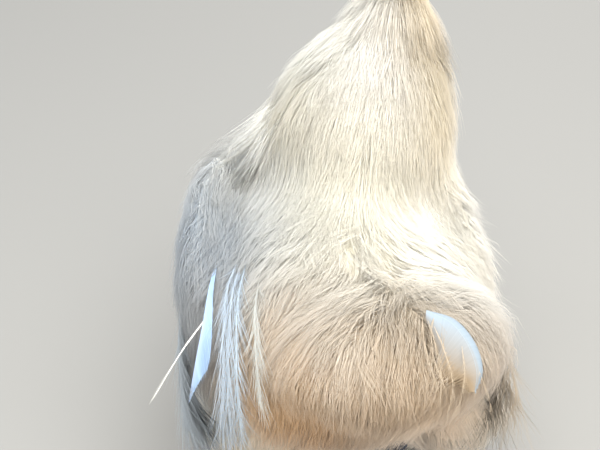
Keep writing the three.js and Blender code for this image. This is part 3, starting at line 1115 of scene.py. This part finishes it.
def archPiece(name, look, roots, heading, middle, hull, rng):
    guides, normals, length = archGuides(look, roots[0], heading, middle, treeOf(hull), rng)
    return coatPiece(name, [lockGroup(look, roots, guides, normals, length, rng)], coatFinish)


crestLook = {
    **coatCommon, "locks": 430, "strands": 12, "layers": (0.55, 1.1), "radius": 2.6, "tipSpread": 2.2,
    "thickness": 1.0, "fray": 0.03, "wave": 0.9, "width": 0.14, "rings": 5, "middle": (0, -12, 12),
    "crown": (0, -4), "crownRadius": 17, "fan": 112, "bend": 34, "sway": 0.2, "flyaways": 0.02,
    "heights": (14, 60), "missed": 16, "seed": 41,
    # its roots, in the head's frame: on the crown, and down the back of the head
    "crownAbove": 5, "crownBehind": 10, "backAbove": -8, "backBehind": -9,
}
# the nape's locks fall from under the crest over the top of the neck
napeLook = {
    **coatCommon, "locks": 178, "strands": 18, "lengths": (42, 64), "layers": (0.8, 1.06), "droop": 1.6,
    "radius": 4, "tipSpread": 1.0, "fray": 0.03, "floor": 0, "rings": 4, "spill": 0.1,
    "source": (0, -8, -4), "middle": (0, -16, -34), "sway": 0.1, "seed": 43,
    "heights": (-24, 2), "behind": 3,
}
# locks that fall from the left side of the neck over the top of the folded wing
shoulderLook = {
    **coatCommon, "locks": 90, "strands": 18, "lengths": (44, 92), "layers": (0.64, 0.98), "droop": 0.7,
    "radius": 6, "tipSpread": 1.4, "thickness": 0.8, "floor": 0, "spill": 0, "from": (-37, 80, 250),
    "around": 26, "leftOf": -18, "ahead": 66, "heading": (-0.85, -0.34, -0.26), "sway": 0.22,
    "middle": (-28, 66, 222), "grow": {"left_wing": 13, "trunk": 13, "neck": 2}, "seed": 47,
}
bootLook = {
    **coatCommon, "locks": 120, "strands": 13, "lengths": (22, 38), "layers": (0.4, 1.05), "droop": 0.9,
    "radius": 2.6, "tipSpread": 1.3, "thickness": 0.8, "fray": 0.05, "width": 0.18, "floor": 1.2,
    "heading": (0.75, 0.3, -0.35), "sway": 0.2, "spill": 0, "seed": 50,
    # where they grow, from the foot's middle: how far out on the shank, its heights, and on the toes
    "shankOut": (1.5, 14), "shankHeights": (9, 66), "toesOut": 4, "toesAhead": (2, 26), "toesAbove": 5,
}
# short bristles on the bare face, in millimetres
faceLook = {
    "bristles": 1500, "raise": 0.5, "sway": 0.2, "colour": tone(150, 134, 136), "mottle": 0.06,
    "seed": 60,
    # they leave the front of the face bare, in the head's frame
    "front": 13, "below": -5, "behind": -1, "above": 9,
}
bristleSizes = {"Shortest": 1.6, "Longest": 3.6, "Thickness": 0.06, "Bend": 0.5, "Seed": 60}


def bristleTree():
    # one bent cone on every point, turned to the point's heading and made real
    tree = bpy.data.node_groups.new("bristleTree", "GeometryNodeTree")
    sockets = tree.interface
    sockets.new_socket("Geometry", in_out="INPUT", socket_type="NodeSocketGeometry")
    for label, value in bristleSizes.items():
        kind = "NodeSocketInt" if label == "Seed" else "NodeSocketFloat"
        sockets.new_socket(label, in_out="INPUT", socket_type=kind).default_value = value
    sockets.new_socket("Geometry", in_out="OUTPUT", socket_type="NodeSocketGeometry")
    given = addNode(tree, "NodeGroupInput").outputs

    cone = addNode(tree, "GeometryNodeMeshCone", {
        "Vertices": 3, "Side Segments": 3, "Radius Top": 0, "Depth": 1,
        "Radius Bottom": given["Thickness"]})
    place = addNode(tree, "GeometryNodeInputPosition").outputs[0]
    apart = addNode(tree, "ShaderNodeSeparateXYZ", {0: place})
    square = addNode(tree, "ShaderNodeMath", {0: apart.outputs["Z"], 1: 2}, operation="POWER")
    bend = addNode(tree, "ShaderNodeMath", {0: square.outputs[0], 1: given["Bend"]}, operation="MULTIPLY")
    shift = addNode(tree, "ShaderNodeCombineXYZ", {"X": bend.outputs[0]})
    bent = addNode(tree, "GeometryNodeSetPosition", {
        "Geometry": cone.outputs["Mesh"], "Offset": shift.outputs[0]})

    heading = addNode(
        tree, "GeometryNodeInputNamedAttribute", {"Name": "heading"}, data_type="FLOAT_VECTOR")
    aim = addNode(
        tree, "FunctionNodeAlignRotationToVector", {"Vector": heading.outputs["Attribute"]}, axis="Z")
    chance = addNode(tree, "FunctionNodeRandomValue", {
        2: given["Shortest"], 3: given["Longest"], "Seed": given["Seed"]}, data_type="FLOAT")
    stretch = addNode(tree, "ShaderNodeCombineXYZ", {"X": 1, "Y": 1, "Z": chance.outputs[1]})

    spread = addNode(tree, "GeometryNodeInstanceOnPoints", {
        "Points": given["Geometry"], "Instance": bent.outputs["Geometry"],
        "Rotation": aim.outputs[0], "Scale": stretch.outputs[0]})
    real = addNode(tree, "GeometryNodeRealizeInstances", {0: spread.outputs[0]})
    finish = addNode(tree, "GeometryNodeSetMaterial", {
        "Geometry": real.outputs[0], "Material": coatFinish})
    addNode(tree, "NodeGroupOutput", {"Geometry": finish.outputs[0]})
    return tree


def bristleBody(roots, headings):
    # the tree works in millimetres on a point for each root, then becomes a plain mesh
    mesh = bpy.data.meshes.new("bristleRoots")
    mesh.from_pydata(roots.tolist(), [], [])
    mesh.attributes.new("heading", "FLOAT_VECTOR", "POINT").data.foreach_set("vector", headings.ravel())
    holder = bpy.data.objects.new("bristleRoots", mesh)
    bpy.context.collection.objects.link(holder)
    modifier = holder.modifiers.new("bristles", "NODES")
    modifier.node_group = bristleTree()
    for socket in modifier.node_group.interface.items_tree:
        if socket.in_out == "INPUT" and socket.name in bristleSizes:
            modifier[socket.identifier] = bristleSizes[socket.name]
    shown = holder.evaluated_get(bpy.context.evaluated_depsgraph_get())
    grown = bpy.data.meshes.new_from_object(shown)
    holder.modifiers.remove(modifier)
    bpy.data.objects.remove(holder)
    points, faces = bodyOf(grown)
    return points * mm, faces


def puffGuides(look, roots, hull, rng):
    # locks fan out from the crown, rise inside the hull and bend over it, as the outside of a puff does
    middle = inHead(look["middle"])
    offset = fromHead(roots)[:, :2] - look["crown"]
    turn = np.arctan2(offset[:, 1], offset[:, 0]) + rng.normal(0, look["sway"], len(roots))
    tilt = np.linalg.norm(offset, axis=1) / look["crownRadius"]
    tilt = tilt + rng.normal(0, look["sway"] / 2, len(roots))
    tilt = math.radians(look["fan"]) * np.clip(tilt, 0, 1)
    layer = rng.uniform(*look["layers"], len(roots)) ** 0.7
    stations = [roots]
    for angle, share in ((tilt * 0.7, 0.55), (tilt, 0.95), (tilt + math.radians(look["bend"]), 1.0)):
        flat = headAcross * np.cos(turn)[:, None] + headAhead * np.sin(turn)[:, None]
        way = flat * np.sin(angle)[:, None] - down * np.cos(angle)[:, None]
        reach = np.clip(hullReach(hull, middle, way, [look["missed"]] * len(way)), *look["heights"])
        stations.append(middle + way * (reach * layer * share)[:, None])
    stops = np.linspace(0, 1, guideStops)
    guides = np.stack([readCurve(np.array(line), stops) for line in zip(*stations)])
    for _ in range(archRounds):
        guides = smoothAlong(guides)
    length = np.linalg.norm(np.diff(guides, axis=1), axis=2).sum(1)
    return guides, unit(guides - middle), length


def growCrest():
    look = crestLook
    rng = np.random.default_rng(look["seed"])
    _, ahead, height = faceSpots.T
    crown = (height > look["crownAbove"]) & (ahead < look["crownBehind"])
    back = (height > look["backAbove"]) & (ahead < look["backBehind"]) & (facePart == "throat")
    roots = scatter(crown & np.isin(facePart, ("face", "throat")) | back, look["locks"], rng)
    guides, normals, length = puffGuides(look, roots[0], treeOf(cadBody("crest")), rng)
    group = lockGroup(look, roots, guides, normals, length, rng)
    piece = coatPiece("crest_coat", [group], coatFinish)
    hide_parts("crest")


def growNape():
    look = napeLook
    rng = np.random.default_rng(look["seed"])
    _, ahead, height = faceSpots.T
    nape = (facePart == "throat") & within(height, look["heights"]) & (ahead < look["behind"])
    roots = scatter(nape, look["locks"], rng)
    heading = unit((roots[0] - inHead(look["source"])) * (1, 1, 0)) + down * 0.5
    heading = heading + rng.normal(0, look["sway"], roots[0].shape)
    hull = joined([cadBody("neck", grow=1), cadBody("crest")])
    archPiece("nape_coat", look, roots, heading, inHead(look["middle"]), hull, rng)


def growShoulder():
    look = shoulderLook
    rng = np.random.default_rng(look["seed"])
    near = np.linalg.norm(facePlaces - look["from"], axis=1) < look["around"]
    shoulder = near & (facePlaces[:, 0] < look["leftOf"]) & (facePlaces[:, 1] > look["ahead"])
    roots = scatter(shoulder, look["locks"], rng)
    heading = np.array(look["heading"]) + rng.normal(0, look["sway"], roots[0].shape)
    hull = joined([cadBody(node, grow=more) for node, more in look["grow"].items()])
    middle = np.array(look["middle"])
    archPiece("left_shoulder_fall", look, roots, heading, middle, hull, rng)


def growBoot(name, side):
    look = bootLook
    rng = np.random.default_rng(look["seed"] + side)
    out, ahead, _ = ((facePlaces - footMiddle(side)) * (side, 1, 1)).T
    height = facePlaces[:, 2]
    shank = within(out, look["shankOut"]) & within(height, look["shankHeights"])
    toes = (out > look["toesOut"]) & within(ahead, look["toesAhead"]) & (height > look["toesAbove"])
    roots = scatter((facePart == "leg") & (shank | toes), look["locks"], rng)
    heading = np.array(look["heading"]) * (side, 1, 1) + rng.normal(0, look["sway"], roots[0].shape)
    middle, hull = boxMiddle(f"{name}_boot_feathers"), cadBody(f"{name}_boot_feathers")
    piece = archPiece(f"{name}_boot_coat", look, roots, heading, middle, hull, rng)
    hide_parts(f"{name}_boot_feathers")


def growFaceTufts():
    look = faceLook
    rng = np.random.default_rng(look["seed"])
    _, ahead, height = faceSpots.T
    edge = (height < look["below"]) | (ahead < look["behind"]) | (height > look["above"])
    cheek = (facePart == "face") & (ahead < look["front"]) & edge
    roots, faces, weights = scatter(cheek, look["bristles"], rng)
    heading = unit(faceFlow[faces] + faceNormals[faces] * look["raise"])
    heading = heading + rng.normal(0, look["sway"], roots.shape)
    body = bristleBody(roots, unit(heading))
    many = len(body[0]) // len(roots)
    owner = np.repeat(np.arange(len(roots)), many)
    along = np.linalg.norm(body[0] - roots[owner], axis=1) / bristleSizes["Longest"]
    across = np.tile(np.linspace(-0.5, 0.5, many), len(roots))
    places = unwrapAt(faces, weights)[owner] + np.stack([across, along - 0.5], 1) * bakePatch
    shade = look["colour"] * (1 + rng.normal(0, look["mottle"], (len(roots), 1)))
    group = (body, pointNormals(body), shade[owner], places)
    coatPiece("face_tufts", [group], coatFinish)


growCrest()
growNape()
growShoulder()
for name, side in bothSides.items():
    growBoot(name, side)
growFaceTufts()


# Feathers with a vane: a shaft with barbs on both sides, whole or frayed into threads

vaneCommon = {
    "barbs": 110, "width": 0.2, "flatness": 0.6, "tipTaper": 0.75, "rootShade": 1.0, "mottle": 0.02,
    "rings": 4, "lean": 17, "bow": 0.1, "fray": 0.3, "cluster": 5, "shaft": 0.45, "web": 0,
    "rows": 120, "columns": 9, "webThick": 0.22, "ridge": 0.05, "colour": tone(236, 240, 244),
    "farColour": tone(236, 238, 238),
    # how much of the far colour there is: less on the right side, more towards the tip
    "sideFade": 0.9, "tipFade": (-0.25, 0.85),
    "span": (0.04, 0.98),  # the part of the shaft that carries barbs
    "drift": (0.6, 0.8), "driftLimit": 1.5,  # how unlike each other bunches and single barbs are
    "gather": 0.7, "stray": 0.35, "ribStops": 13, "ribGain": 1.12,
}


def vaneFrame(look, t):
    # the shaft's places at t with its direction, the way the vane faces and its right side
    line = readCurve(look["line"], t)
    ahead = unit(readCurve(look["line"], t + 0.01) - readCurve(look["line"], t - 0.01))
    facing = unit(readCurve(look["facing"], t))
    facing = unit(facing - ahead * (facing * ahead).sum(1)[:, None])
    return line, ahead, facing, np.cross(facing, ahead)


def barbPaths(look, t, reach, sign, s):
    # barbs leave the shaft at their lean, then bend towards its tip and away from the face
    line, ahead, facing, side = vaneFrame(look, t)
    lean = math.radians(look["lean"])
    spread = sign * side * math.sin(lean) + ahead * math.cos(lean)
    bend = ahead * (reach * 0.12)[:, None] - facing * (reach * look["bow"])[:, None]
    return line[:, None] + spread[:, None] * reach[:, None, None] * s + bend[:, None] * s**2, facing


def vaneWeb(look, rng):
    # the whole part of a vane: a thin closed sheet with a ridge for each barb
    t = np.linspace(0, 1, look["rows"])
    s = np.linspace(0, 1, look["columns"])
    halves = []
    for sign, widths in ((-1, look["left"]), (1, look["right"])):
        paths, facing = barbPaths(look, t, readCurve(widths, t) * look["web"], sign, s[None, :, None])
        halves.append(paths)
    grid = np.concatenate([halves[0][:, :0:-1], halves[1]], 1)
    rows, columns = grid.shape[:2]
    across = np.abs(np.linspace(-1, 1, columns))[None, :, None]
    ridge = look["ridge"] * (-1.0) ** np.arange(rows)[:, None, None] * across**0.3
    rounding = np.sin(np.linspace(0.05, math.pi - 0.05, rows))[:, None, None]
    thick = look["webThick"] * (1 - 0.8 * across**4) * rounding
    lift = facing[:, None]
    sheets = np.stack([grid + lift * (thick + ridge), grid - lift * thick])
    index = np.arange(2 * rows * columns).reshape(2, rows, columns)
    top, under = index
    faces = []
    for a, turnOver in ((top, False), (under, True)):
        quad = np.stack([a[:-1, :-1], a[1:, :-1], a[1:, 1:], a[:-1, 1:]], -1).reshape(-1, 4)
        faces.append(quad[:, ::-1] if turnOver else quad)
    rim = np.concatenate([top[0, :], top[1:, -1], top[-1, -2::-1], top[-2:0:-1, 0]])
    low = np.concatenate([under[0, :], under[1:, -1], under[-1, -2::-1], under[-2:0:-1, 0]])
    faces.append(np.stack([rim, np.roll(rim, -1), np.roll(low, -1), low], -1))
    quads = np.concatenate(faces)
    body = (sheets.reshape(-1, 3), np.concatenate([quads[:, :3], quads[:, [0, 2, 3]]]))
    tipFade = np.linspace(*look["tipFade"], rows)[:, None]
    fade = np.clip(np.linspace(-1, 1, columns)[None] * -look["sideFade"] + tipFade, 0, 1)[..., None]
    colour = look["colour"] + (look["farColour"] - look["colour"]) * fade
    colour = colour * (1 + rng.normal(0, look["mottle"], (rows, 1, 1)))
    local = np.stack(np.meshgrid(np.linspace(-0.5, 0.5, columns), np.linspace(-0.5, 0.5, rows)), -1)
    places = nearestPlaces(grid[:1, columns // 2])[0] + local * bakePatch
    colours = np.clip(np.concatenate([colour.reshape(-1, 3)] * 2), 0, 0.96)
    return body, pointNormals(body), colours, np.concatenate([places.reshape(-1, 2)] * 2)


def vaneGroups(look, rng):
    count, stops = look["barbs"], look["rings"] + 1
    t = np.linspace(*look["span"], count)
    s = np.linspace(0, 1, stops)[None, :, None]
    groups = [vaneWeb(look, rng)] if look["web"] else []
    gap = np.linalg.norm(np.diff(readCurve(look["line"], t[:2]), axis=0))
    for sign, widths in ((1, look["right"]), (-1, look["left"])):
        bunch = (np.arange(count) + rng.integers(0, look["cluster"])) // look["cluster"]
        gather = (bunch + 0.5) * look["cluster"] - np.arange(count)
        drift = rng.normal(0, 1, (bunch.max() + 1, 2))[bunch] * look["drift"][0]
        drift = drift + rng.normal(0, look["drift"][1], (count, 2))
        drift = np.clip(drift, -look["driftLimit"], look["driftLimit"])
        reach = readCurve(widths, t) * (1 + look["fray"] * 0.6 * drift[:, 0])
        paths, facing = barbPaths(look, t, reach, sign, s)
        line, ahead, _, side = vaneFrame(look, t)
        pull = ahead * (gather * gap * look["gather"])[:, None]
        sway = facing * drift[:, 1:] + side * rng.normal(0, 0.5, (count, 1))
        stray = sway * (look["fray"] * reach * look["stray"])[:, None]
        paths = paths + (pull + stray)[:, None] * s**1.5
        uprights = np.broadcast_to(facing[:, None], paths.shape)
        fade = np.clip(np.linspace(*look["tipFade"], count) - look["sideFade"] * sign, 0, 1)
        fade = fade[:, None] * (look["web"] > 0)
        shade = (look["colour"] + (look["farColour"] - look["colour"]) * fade) * (1 + 0.02 * drift[:, :1])
        groups.append(strandGroup(
            look, paths, uprights, np.repeat(s[..., 0], count, 0), shade, nearestPlaces(line), rng))
    along = np.linspace(0, 1, look["ribStops"])
    rib = readCurve(look["line"], along)[None]
    ribLook = {**look, "width": look["shaft"], "flatness": 1.0}
    facing = vaneFrame(look, along)[2]
    ribTone = np.clip(look["colour"] * look["ribGain"], 0, 0.95)[None]
    groups.append(strandGroup(
        ribLook, rib + facing * 0.2, facing[None], along[None], ribTone, nearestPlaces(rib[0, :1]), rng))
    return groups


def nearestPlaces(points):
    faces = [skinTree.find_nearest(point)[2] for point in points.tolist()]
    return skinUnwrap[faces].mean(1)


# blue-white: the blue is partly the feathers' cool white and partly painted shade
blueShadedVane = {"colour": tone(170, 200, 235), "farColour": tone(190, 198, 230), "web": 0.9, "fray": 0.06}
# grey-blue: white feathers painted in shade
wispVane = {
    "left": (16, 18, 18, 16, 12), "right": (16, 18, 18, 16, 12), "width": 0.16,
    "colour": tone(180, 194, 208), "facing": [(-0.5, -0.5, 0.7), (-0.5, -0.8, 0.2)],
    "lean": 15, "cluster": 10, "fray": 0.8, "barbs": 80,
}
leftFlight = [
    # the long blade with the bright shaft
    {**blueShadedVane, "lean": 24, "bow": 0.05, "barbs": 90, "shaft": 0.55,
     "line": [(-78, 2, 197), (-85, -27, 199), (-91, -51, 191), (-97, -62, 171), (-103, -67, 143)],
     "left": (1.2, 1.2, 1.4, 1.6, 1.6, 1, 0.4), "right": (3, 9, 17, 23, 16, 8, 0.6),
     "facing": [(-0.6, -0.5, 0.6), (-0.6, -0.75, 0.3)]},
    # softer feathers beside it, frayed into points, painted grey-blue and grey as shade
    {**wispVane,
     "line": [(-64, 2, 198), (-75, -36, 204), (-80, -64, 190), (-82, -79, 162), (-84, -84, 128)]},
    {**wispVane,
     "line": [(-62, 0, 198), (-72, -40, 205), (-77, -68, 191), (-79, -82, 163), (-78, -84, 118)]},
    {**wispVane, "colour": tone(180, 196, 210),
     "line": [(-60, -4, 199), (-69, -46, 206), (-73, -74, 190), (-74, -87, 162), (-72, -88, 124)]},
    {**wispVane, "colour": tone(190, 192, 188),
     "line": [(-53, -22, 204), (-60, -57, 207), (-62, -83, 193), (-62, -98, 170)],
     "left": (14, 14, 14, 8), "right": (14, 14, 14, 8)},
    # one stray thread
    {"colour": tone(240, 240, 236), "barbs": 6, "shaft": 0.5,
     "line": [(-88, -42, 190), (-104, -52, 174), (-119, -59, 152)],
     "left": (2, 2, 0.5), "right": (2, 2, 0.5), "facing": [(-0.5, -0.8, 0.3)] * 2},
]
# a white vane painted blue-grey as shade; towards its left side and its lower end it fades to a painted
# shade that matches the rump's
rumpVane = {
    "line": [(33, -99, 235), (46, -106, 231), (54, -117, 223), (57.5, -127, 212), (56, -132, 201)],
    "left": (4, 23, 29, 25, 15, 3), "right": (1, 4, 5, 4, 1), "lean": 76, "bow": 0.5,
    "facing": [(0, -0.3, 0.93), (0, -0.45, 0.84), (0, -0.65, 0.68), (0, -0.8, 0.5), (0, -0.95, 0.2)],
    "colour": tone(140, 154, 166), "farColour": tone(148, 132, 110), "fray": 0.05, "web": 0.95,
    "barbs": 70, "rows": 150, "columns": 14,
}
# pale threads that lie over the vane's lower end and its left edge, their beige darkened as painted shade
# like the rump under them
rumpWisp = {
    "left": (2, 4, 4, 1), "right": (2, 4, 4, 1), "facing": [(0.2, -0.5, 0.8), (0.3, -0.9, 0.3)],
    "barbs": 14, "shaft": 0.12, "width": 0.1, "colour": tone(178, 164, 144),
}
rumpWisps = [
    [(50, -118, 224), (50, -129, 214), (47, -137, 202), (42, -141, 190)],
    [(56, -120, 218), (60, -129, 209), (64, -134, 197), (66, -136, 188)],
    [(33, -105, 233), (35, -117, 226), (37, -128, 214), (36, -135, 203)],
    [(30, -103, 234), (29, -114, 228), (31, -126, 218), (35, -134, 206)],
    [(36, -108, 231), (40, -120, 223), (43, -132, 210), (41, -138, 197)],
    [(38, -100, 233), (34, -110, 231), (33, -122, 222), (37, -131, 212)],
]


fanLook = {
    "seed": 70,
    "feathers": 7, "left": (3, 14, 28, 32, 22), "right": (3, 14, 28, 32, 22), "lean": 22, "fray": 0.6,
    "barbs": 90, "bow": 0.1, "width": 0.17, "shaft": 0.3,
}
# painted shade: the folded feathers are painted darker, grey-blue on the left and beige on the right,
# where they lie in the rump's shadow
fanSides = {
    "left": {"colour": tone(164, 172, 178)},
    "right": {"colour": tone(176, 160, 138), "lean": 34, "fray": 0.8},
}


def flightFan(name, side):
    # folded feathers that trail from the wing's rear edge and fray into threads
    low, high = (np.array(corner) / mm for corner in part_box(f"{name}_flight_feathers"))
    middle = (low + high) / 2
    feathers = []
    look = {**fanLook, **fanSides[name]}
    for i in range(look["feathers"]):
        start = np.array((middle[0] - side * 13, high[1] + 18 - i * 5, high[2] - 4 - i * 6))
        end = np.array((middle[0] - side * (3 + 2 * i), low[1] + 4 + i * 5, low[2] + 30 - i * 6))
        half = (start + end) / 2 + (side * 5, -4, -1)
        feathers.append({
            **look, "line": [start, (start + half) / 2 + (side * 2, 0, 1), half, (half + end) / 2, end],
            "facing": [(side, -0.25 + 0.12 * i, 0.3 - 0.1 * i)] * 2})
    return feathers


def makeFeathers():
    rng = np.random.default_rng(fanLook["seed"])
    fans = {"left": leftFlight + flightFan("left", -1), "right": flightFan("right", 1)}
    for name, feathers in fans.items():
        groups = [group for feather in feathers for group in vaneGroups({**vaneCommon, **feather}, rng)]
        piece = coatPiece(f"{name}_flight_vanes", groups, vaneFinish)
        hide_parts(f"{name}_flight_feathers")
    groups = vaneGroups({**vaneCommon, **rumpVane}, rng)
    for line in rumpWisps:
        groups += vaneGroups({**vaneCommon, **rumpWisp, "line": line}, rng)
    coatPiece("rump_vane", groups, vaneFinish)


makeFeathers()


# Eyes, beak and claws

eyeTones = {"pupil": tone(5, 4, 5), "iris": tone(62, 34, 22), "rim": tone(20, 12, 10)}
# how far from its middle the eye changes colour or bulges: 1 is the middle, 0 a right angle away
eyeEdges = {"pupil": (0.90, 0.92), "iris": (0.70, 0.76), "bulge": (0.84, 1)}
eyeBulge = 0.35  # how far the cornea stands out
irisRays = {"count": 23, "depth": 0.25}


def makeEye(name, side):
    radius = headLook["eyeRadius"]
    middle = np.array((side * headLook["eyeOut"], modelPlan["eyeAhead"], modelPlan["eyeAbove"]))
    out = np.array((side, 0.1, 0)) * radius
    points, faces = limb([middle - out, middle, middle + out], half=[radius] * 3, sides=48, rings=40)
    offset = unit(points - middle)
    facing = offset @ unit(out)
    cornea = smoothStep(*eyeEdges["bulge"], facing) * eyeBulge
    points = points + offset * cornea[:, None]
    rays = np.sin(irisRays["count"] * np.arctan2(offset[:, 2], offset[:, 1]))
    iris = eyeTones["iris"] * (1 + irisRays["depth"] * rays)[:, None]
    colour = eyeTones["rim"] + (iris - eyeTones["rim"]) * smoothStep(*eyeEdges["iris"], facing)[:, None]
    colour = colour + (eyeTones["pupil"] - colour) * smoothStep(*eyeEdges["pupil"], facing)[:, None]
    eye = paintedPiece(f"{name}_eyeball", (inHead(points), faces), "eyeColour", colour, eyeFinish)
    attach(eye, "root")
    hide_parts(f"{name}_eye")


beakLook = {
    "upper": {"spine": [[0, 12, -3.6], [0, 19.5, -3.4], [0, 25.4, -4.8], [0, 29.2, -7.8]],
              "half": [5.6, 4.7, 2.8, 0.7], "rise": [3.8, 3.4, 2.3, 0.7]},
    "lower": {"spine": [[0, 10, -7.4], [0, 18, -7.1], [0, 25.6, -7.3]],
              "half": [4.8, 4.0, 1.1], "rise": [2.4, 2.1, 0.7]},
    "ridge": 0.5,
    "ridgeWidth": 1.3,
    "nostril": (2.9, 21.5, 0.2),
    "nostrilSize": (1.6, 1.7, 0.9),
    "nostrilDepth": (0.9, 0, 0.35),
    "paling": (18, 33),  # from the base's colour to the tip's
    "base": tone(58, 66, 78),
    "tip": tone(128, 134, 140),
}


def makeBeak(name):
    shape = beakLook[name]
    points, faces = limb(**shape, blunt=0.7, sides=48, rings=60)
    if name == "upper":
        height = points[:, 2] + (points[:, 1] - 24) * 0.2
        ridge = beakLook["ridge"] * np.exp(-(points[:, 0] / beakLook["ridgeWidth"]) ** 2)
        points[:, 2] += ridge * smoothStep(-3, 0, height)
        for side in bothSides.values():
            mirror = np.array((side, 1, 1))
            gap = (points - np.array(beakLook["nostril"]) * mirror) / beakLook["nostrilSize"]
            hole = np.exp(-(gap**2).sum(1) ** 2)
            points -= hole[:, None] * np.array(beakLook["nostrilDepth"]) * mirror
    reach = smoothStep(*beakLook["paling"], points[:, 1])[:, None]
    colour = beakLook["base"] + (beakLook["tip"] - beakLook["base"]) * reach
    beak = paintedPiece(f"{name}_bill", (inHead(points), faces), "hornColour", colour, hornFinish)
    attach(beak, "root")
    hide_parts(f"{name}_beak")


clawLook = {
    "line": ((-4, 4.3), (1, 5.0), (5.5, 3.9), (9, 1.1)),  # reach past the toe's end, and height
    "half": [2.0, 1.8, 1.3, 0.35],
    "rise": [2.2, 2.0, 1.4, 0.35],
    "fifthHalf": [1.7, 1.5, 0.35],
    "colour": tone(92, 98, 106),
}


def makeClaws(name, side):
    look, bodies = clawLook, []
    for toe in toePlan:
        start, ahead, length = toeLine(side, toe)
        root = start * (1, 1, 0)
        spine = [root + ahead * (length + reach) + (0, 0, height) for reach, height in look["line"]]
        bodies.append(limb(spine, half=look["half"], rise=look["rise"], blunt=0.7, rings=24, sides=20))
    last, tip = fifthToeLine(side)[-2:]
    lean = (tip - last) * (1, 1, 0)
    spine = [last + (tip - last) * 0.7, tip + lean * 0.25 + (0, 0, 3.4), tip + lean * 0.35 + (0, 0, 10)]
    bodies.append(limb(spine, half=look["fifthHalf"], up=(0, 1, 0), blunt=0.7, rings=24, sides=20))
    points, faces = joined(bodies)
    points[:, 2] = np.maximum(points[:, 2], legLook["sole"])
    colour = np.tile(look["colour"], (len(points), 1))
    claws = paintedPiece(f"{name}_claws", (points, faces), "hornColour", colour, hornFinish)
    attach(claws, "root")
    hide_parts(*[f"{name}_{toe}_claw" for toe in (*toePlan, "fifth")])


for name, side in bothSides.items():
    makeEye(name, side)
    makeClaws(name, side)
for name in ("upper", "lower"):
    makeBeak(name)
print("eyes, beak and claws done")


# Floor, light and camera

studioLook = {
    "floor": tone(146, 146, 144),
    "floorSize": 8,
    "floorRoughness": 0.8,
    "lampAim": (0, 0, 0.18),
    "world": tone(236, 236, 236),
    "worldStrength": 0.9,
}
lampPlan = {
    # place in metres, width, power and colour
    "key": ((0.1, -0.3, 1.6), 1.3, 44, (1, 0.985, 0.95)),
    "cool_fill": ((-1.5, -0.2, 0.9), 1.0, 3, (0.75, 0.88, 1)),
    "warm_fill": ((0.3, -1.4, 0.35), 1.0, 15, (1, 0.88, 0.74)),
    "face_fill": ((0.7, 1.5, 0.8), 1.0, 9, (1, 0.97, 0.94)),
}
cameraLook = {
    "target": (-25.16, 7.48, 215),
    "azimuth": -7,
    "elevation": 40,
    "distance": 850,
    "lens": 81.6,
}


def makeStudio():
    look = studioLook
    bpy.ops.mesh.primitive_plane_add(size=look["floorSize"])
    floor = bpy.context.object
    floor.name = "floor"
    material = bpy.data.materials.new("studio_floor")
    material.use_nodes = True
    shader = material.node_tree.nodes["Principled BSDF"]
    shader.inputs["Base Color"].default_value = (*look["floor"], 1)
    shader.inputs["Roughness"].default_value = look["floorRoughness"]
    floor.data.materials.append(material)
    world = bpy.data.worlds.new("studio")
    world.use_nodes = True
    sky = world.node_tree.nodes["Background"]
    sky.inputs["Color"].default_value = (*look["world"], 1)
    sky.inputs["Strength"].default_value = look["worldStrength"]
    bpy.context.scene.world = world
    for name, (place, size, power, colour) in lampPlan.items():
        lamp = bpy.data.lights.new(name, "AREA")
        lamp.size, lamp.energy, lamp.color = size, power, colour
        stand = bpy.data.objects.new(name, lamp)
        stand.location = place
        aim = Vector(look["lampAim"]) - Vector(place)
        stand.rotation_euler = aim.to_track_quat("-Z", "Y").to_euler()
        bpy.context.scene.collection.objects.link(stand)
    bpy.context.scene.view_settings.view_transform = "Standard"


def makeCamera():
    look = cameraLook
    turn, rise = math.radians(look["azimuth"]), math.radians(look["elevation"])
    toCamera = Vector((math.sin(turn) * math.cos(rise), -math.cos(turn) * math.cos(rise), math.sin(rise)))
    lens = bpy.data.cameras.new("camera")
    lens.lens = look["lens"]
    camera = bpy.data.objects.new("camera", lens)
    camera.location = Vector(look["target"]) * mm + toCamera * look["distance"] * mm
    camera.rotation_euler = (-toCamera).to_track_quat("-Z", "Y").to_euler()
    bpy.context.scene.collection.objects.link(camera)
    bpy.context.scene.camera = camera


makeStudio()
makeCamera()
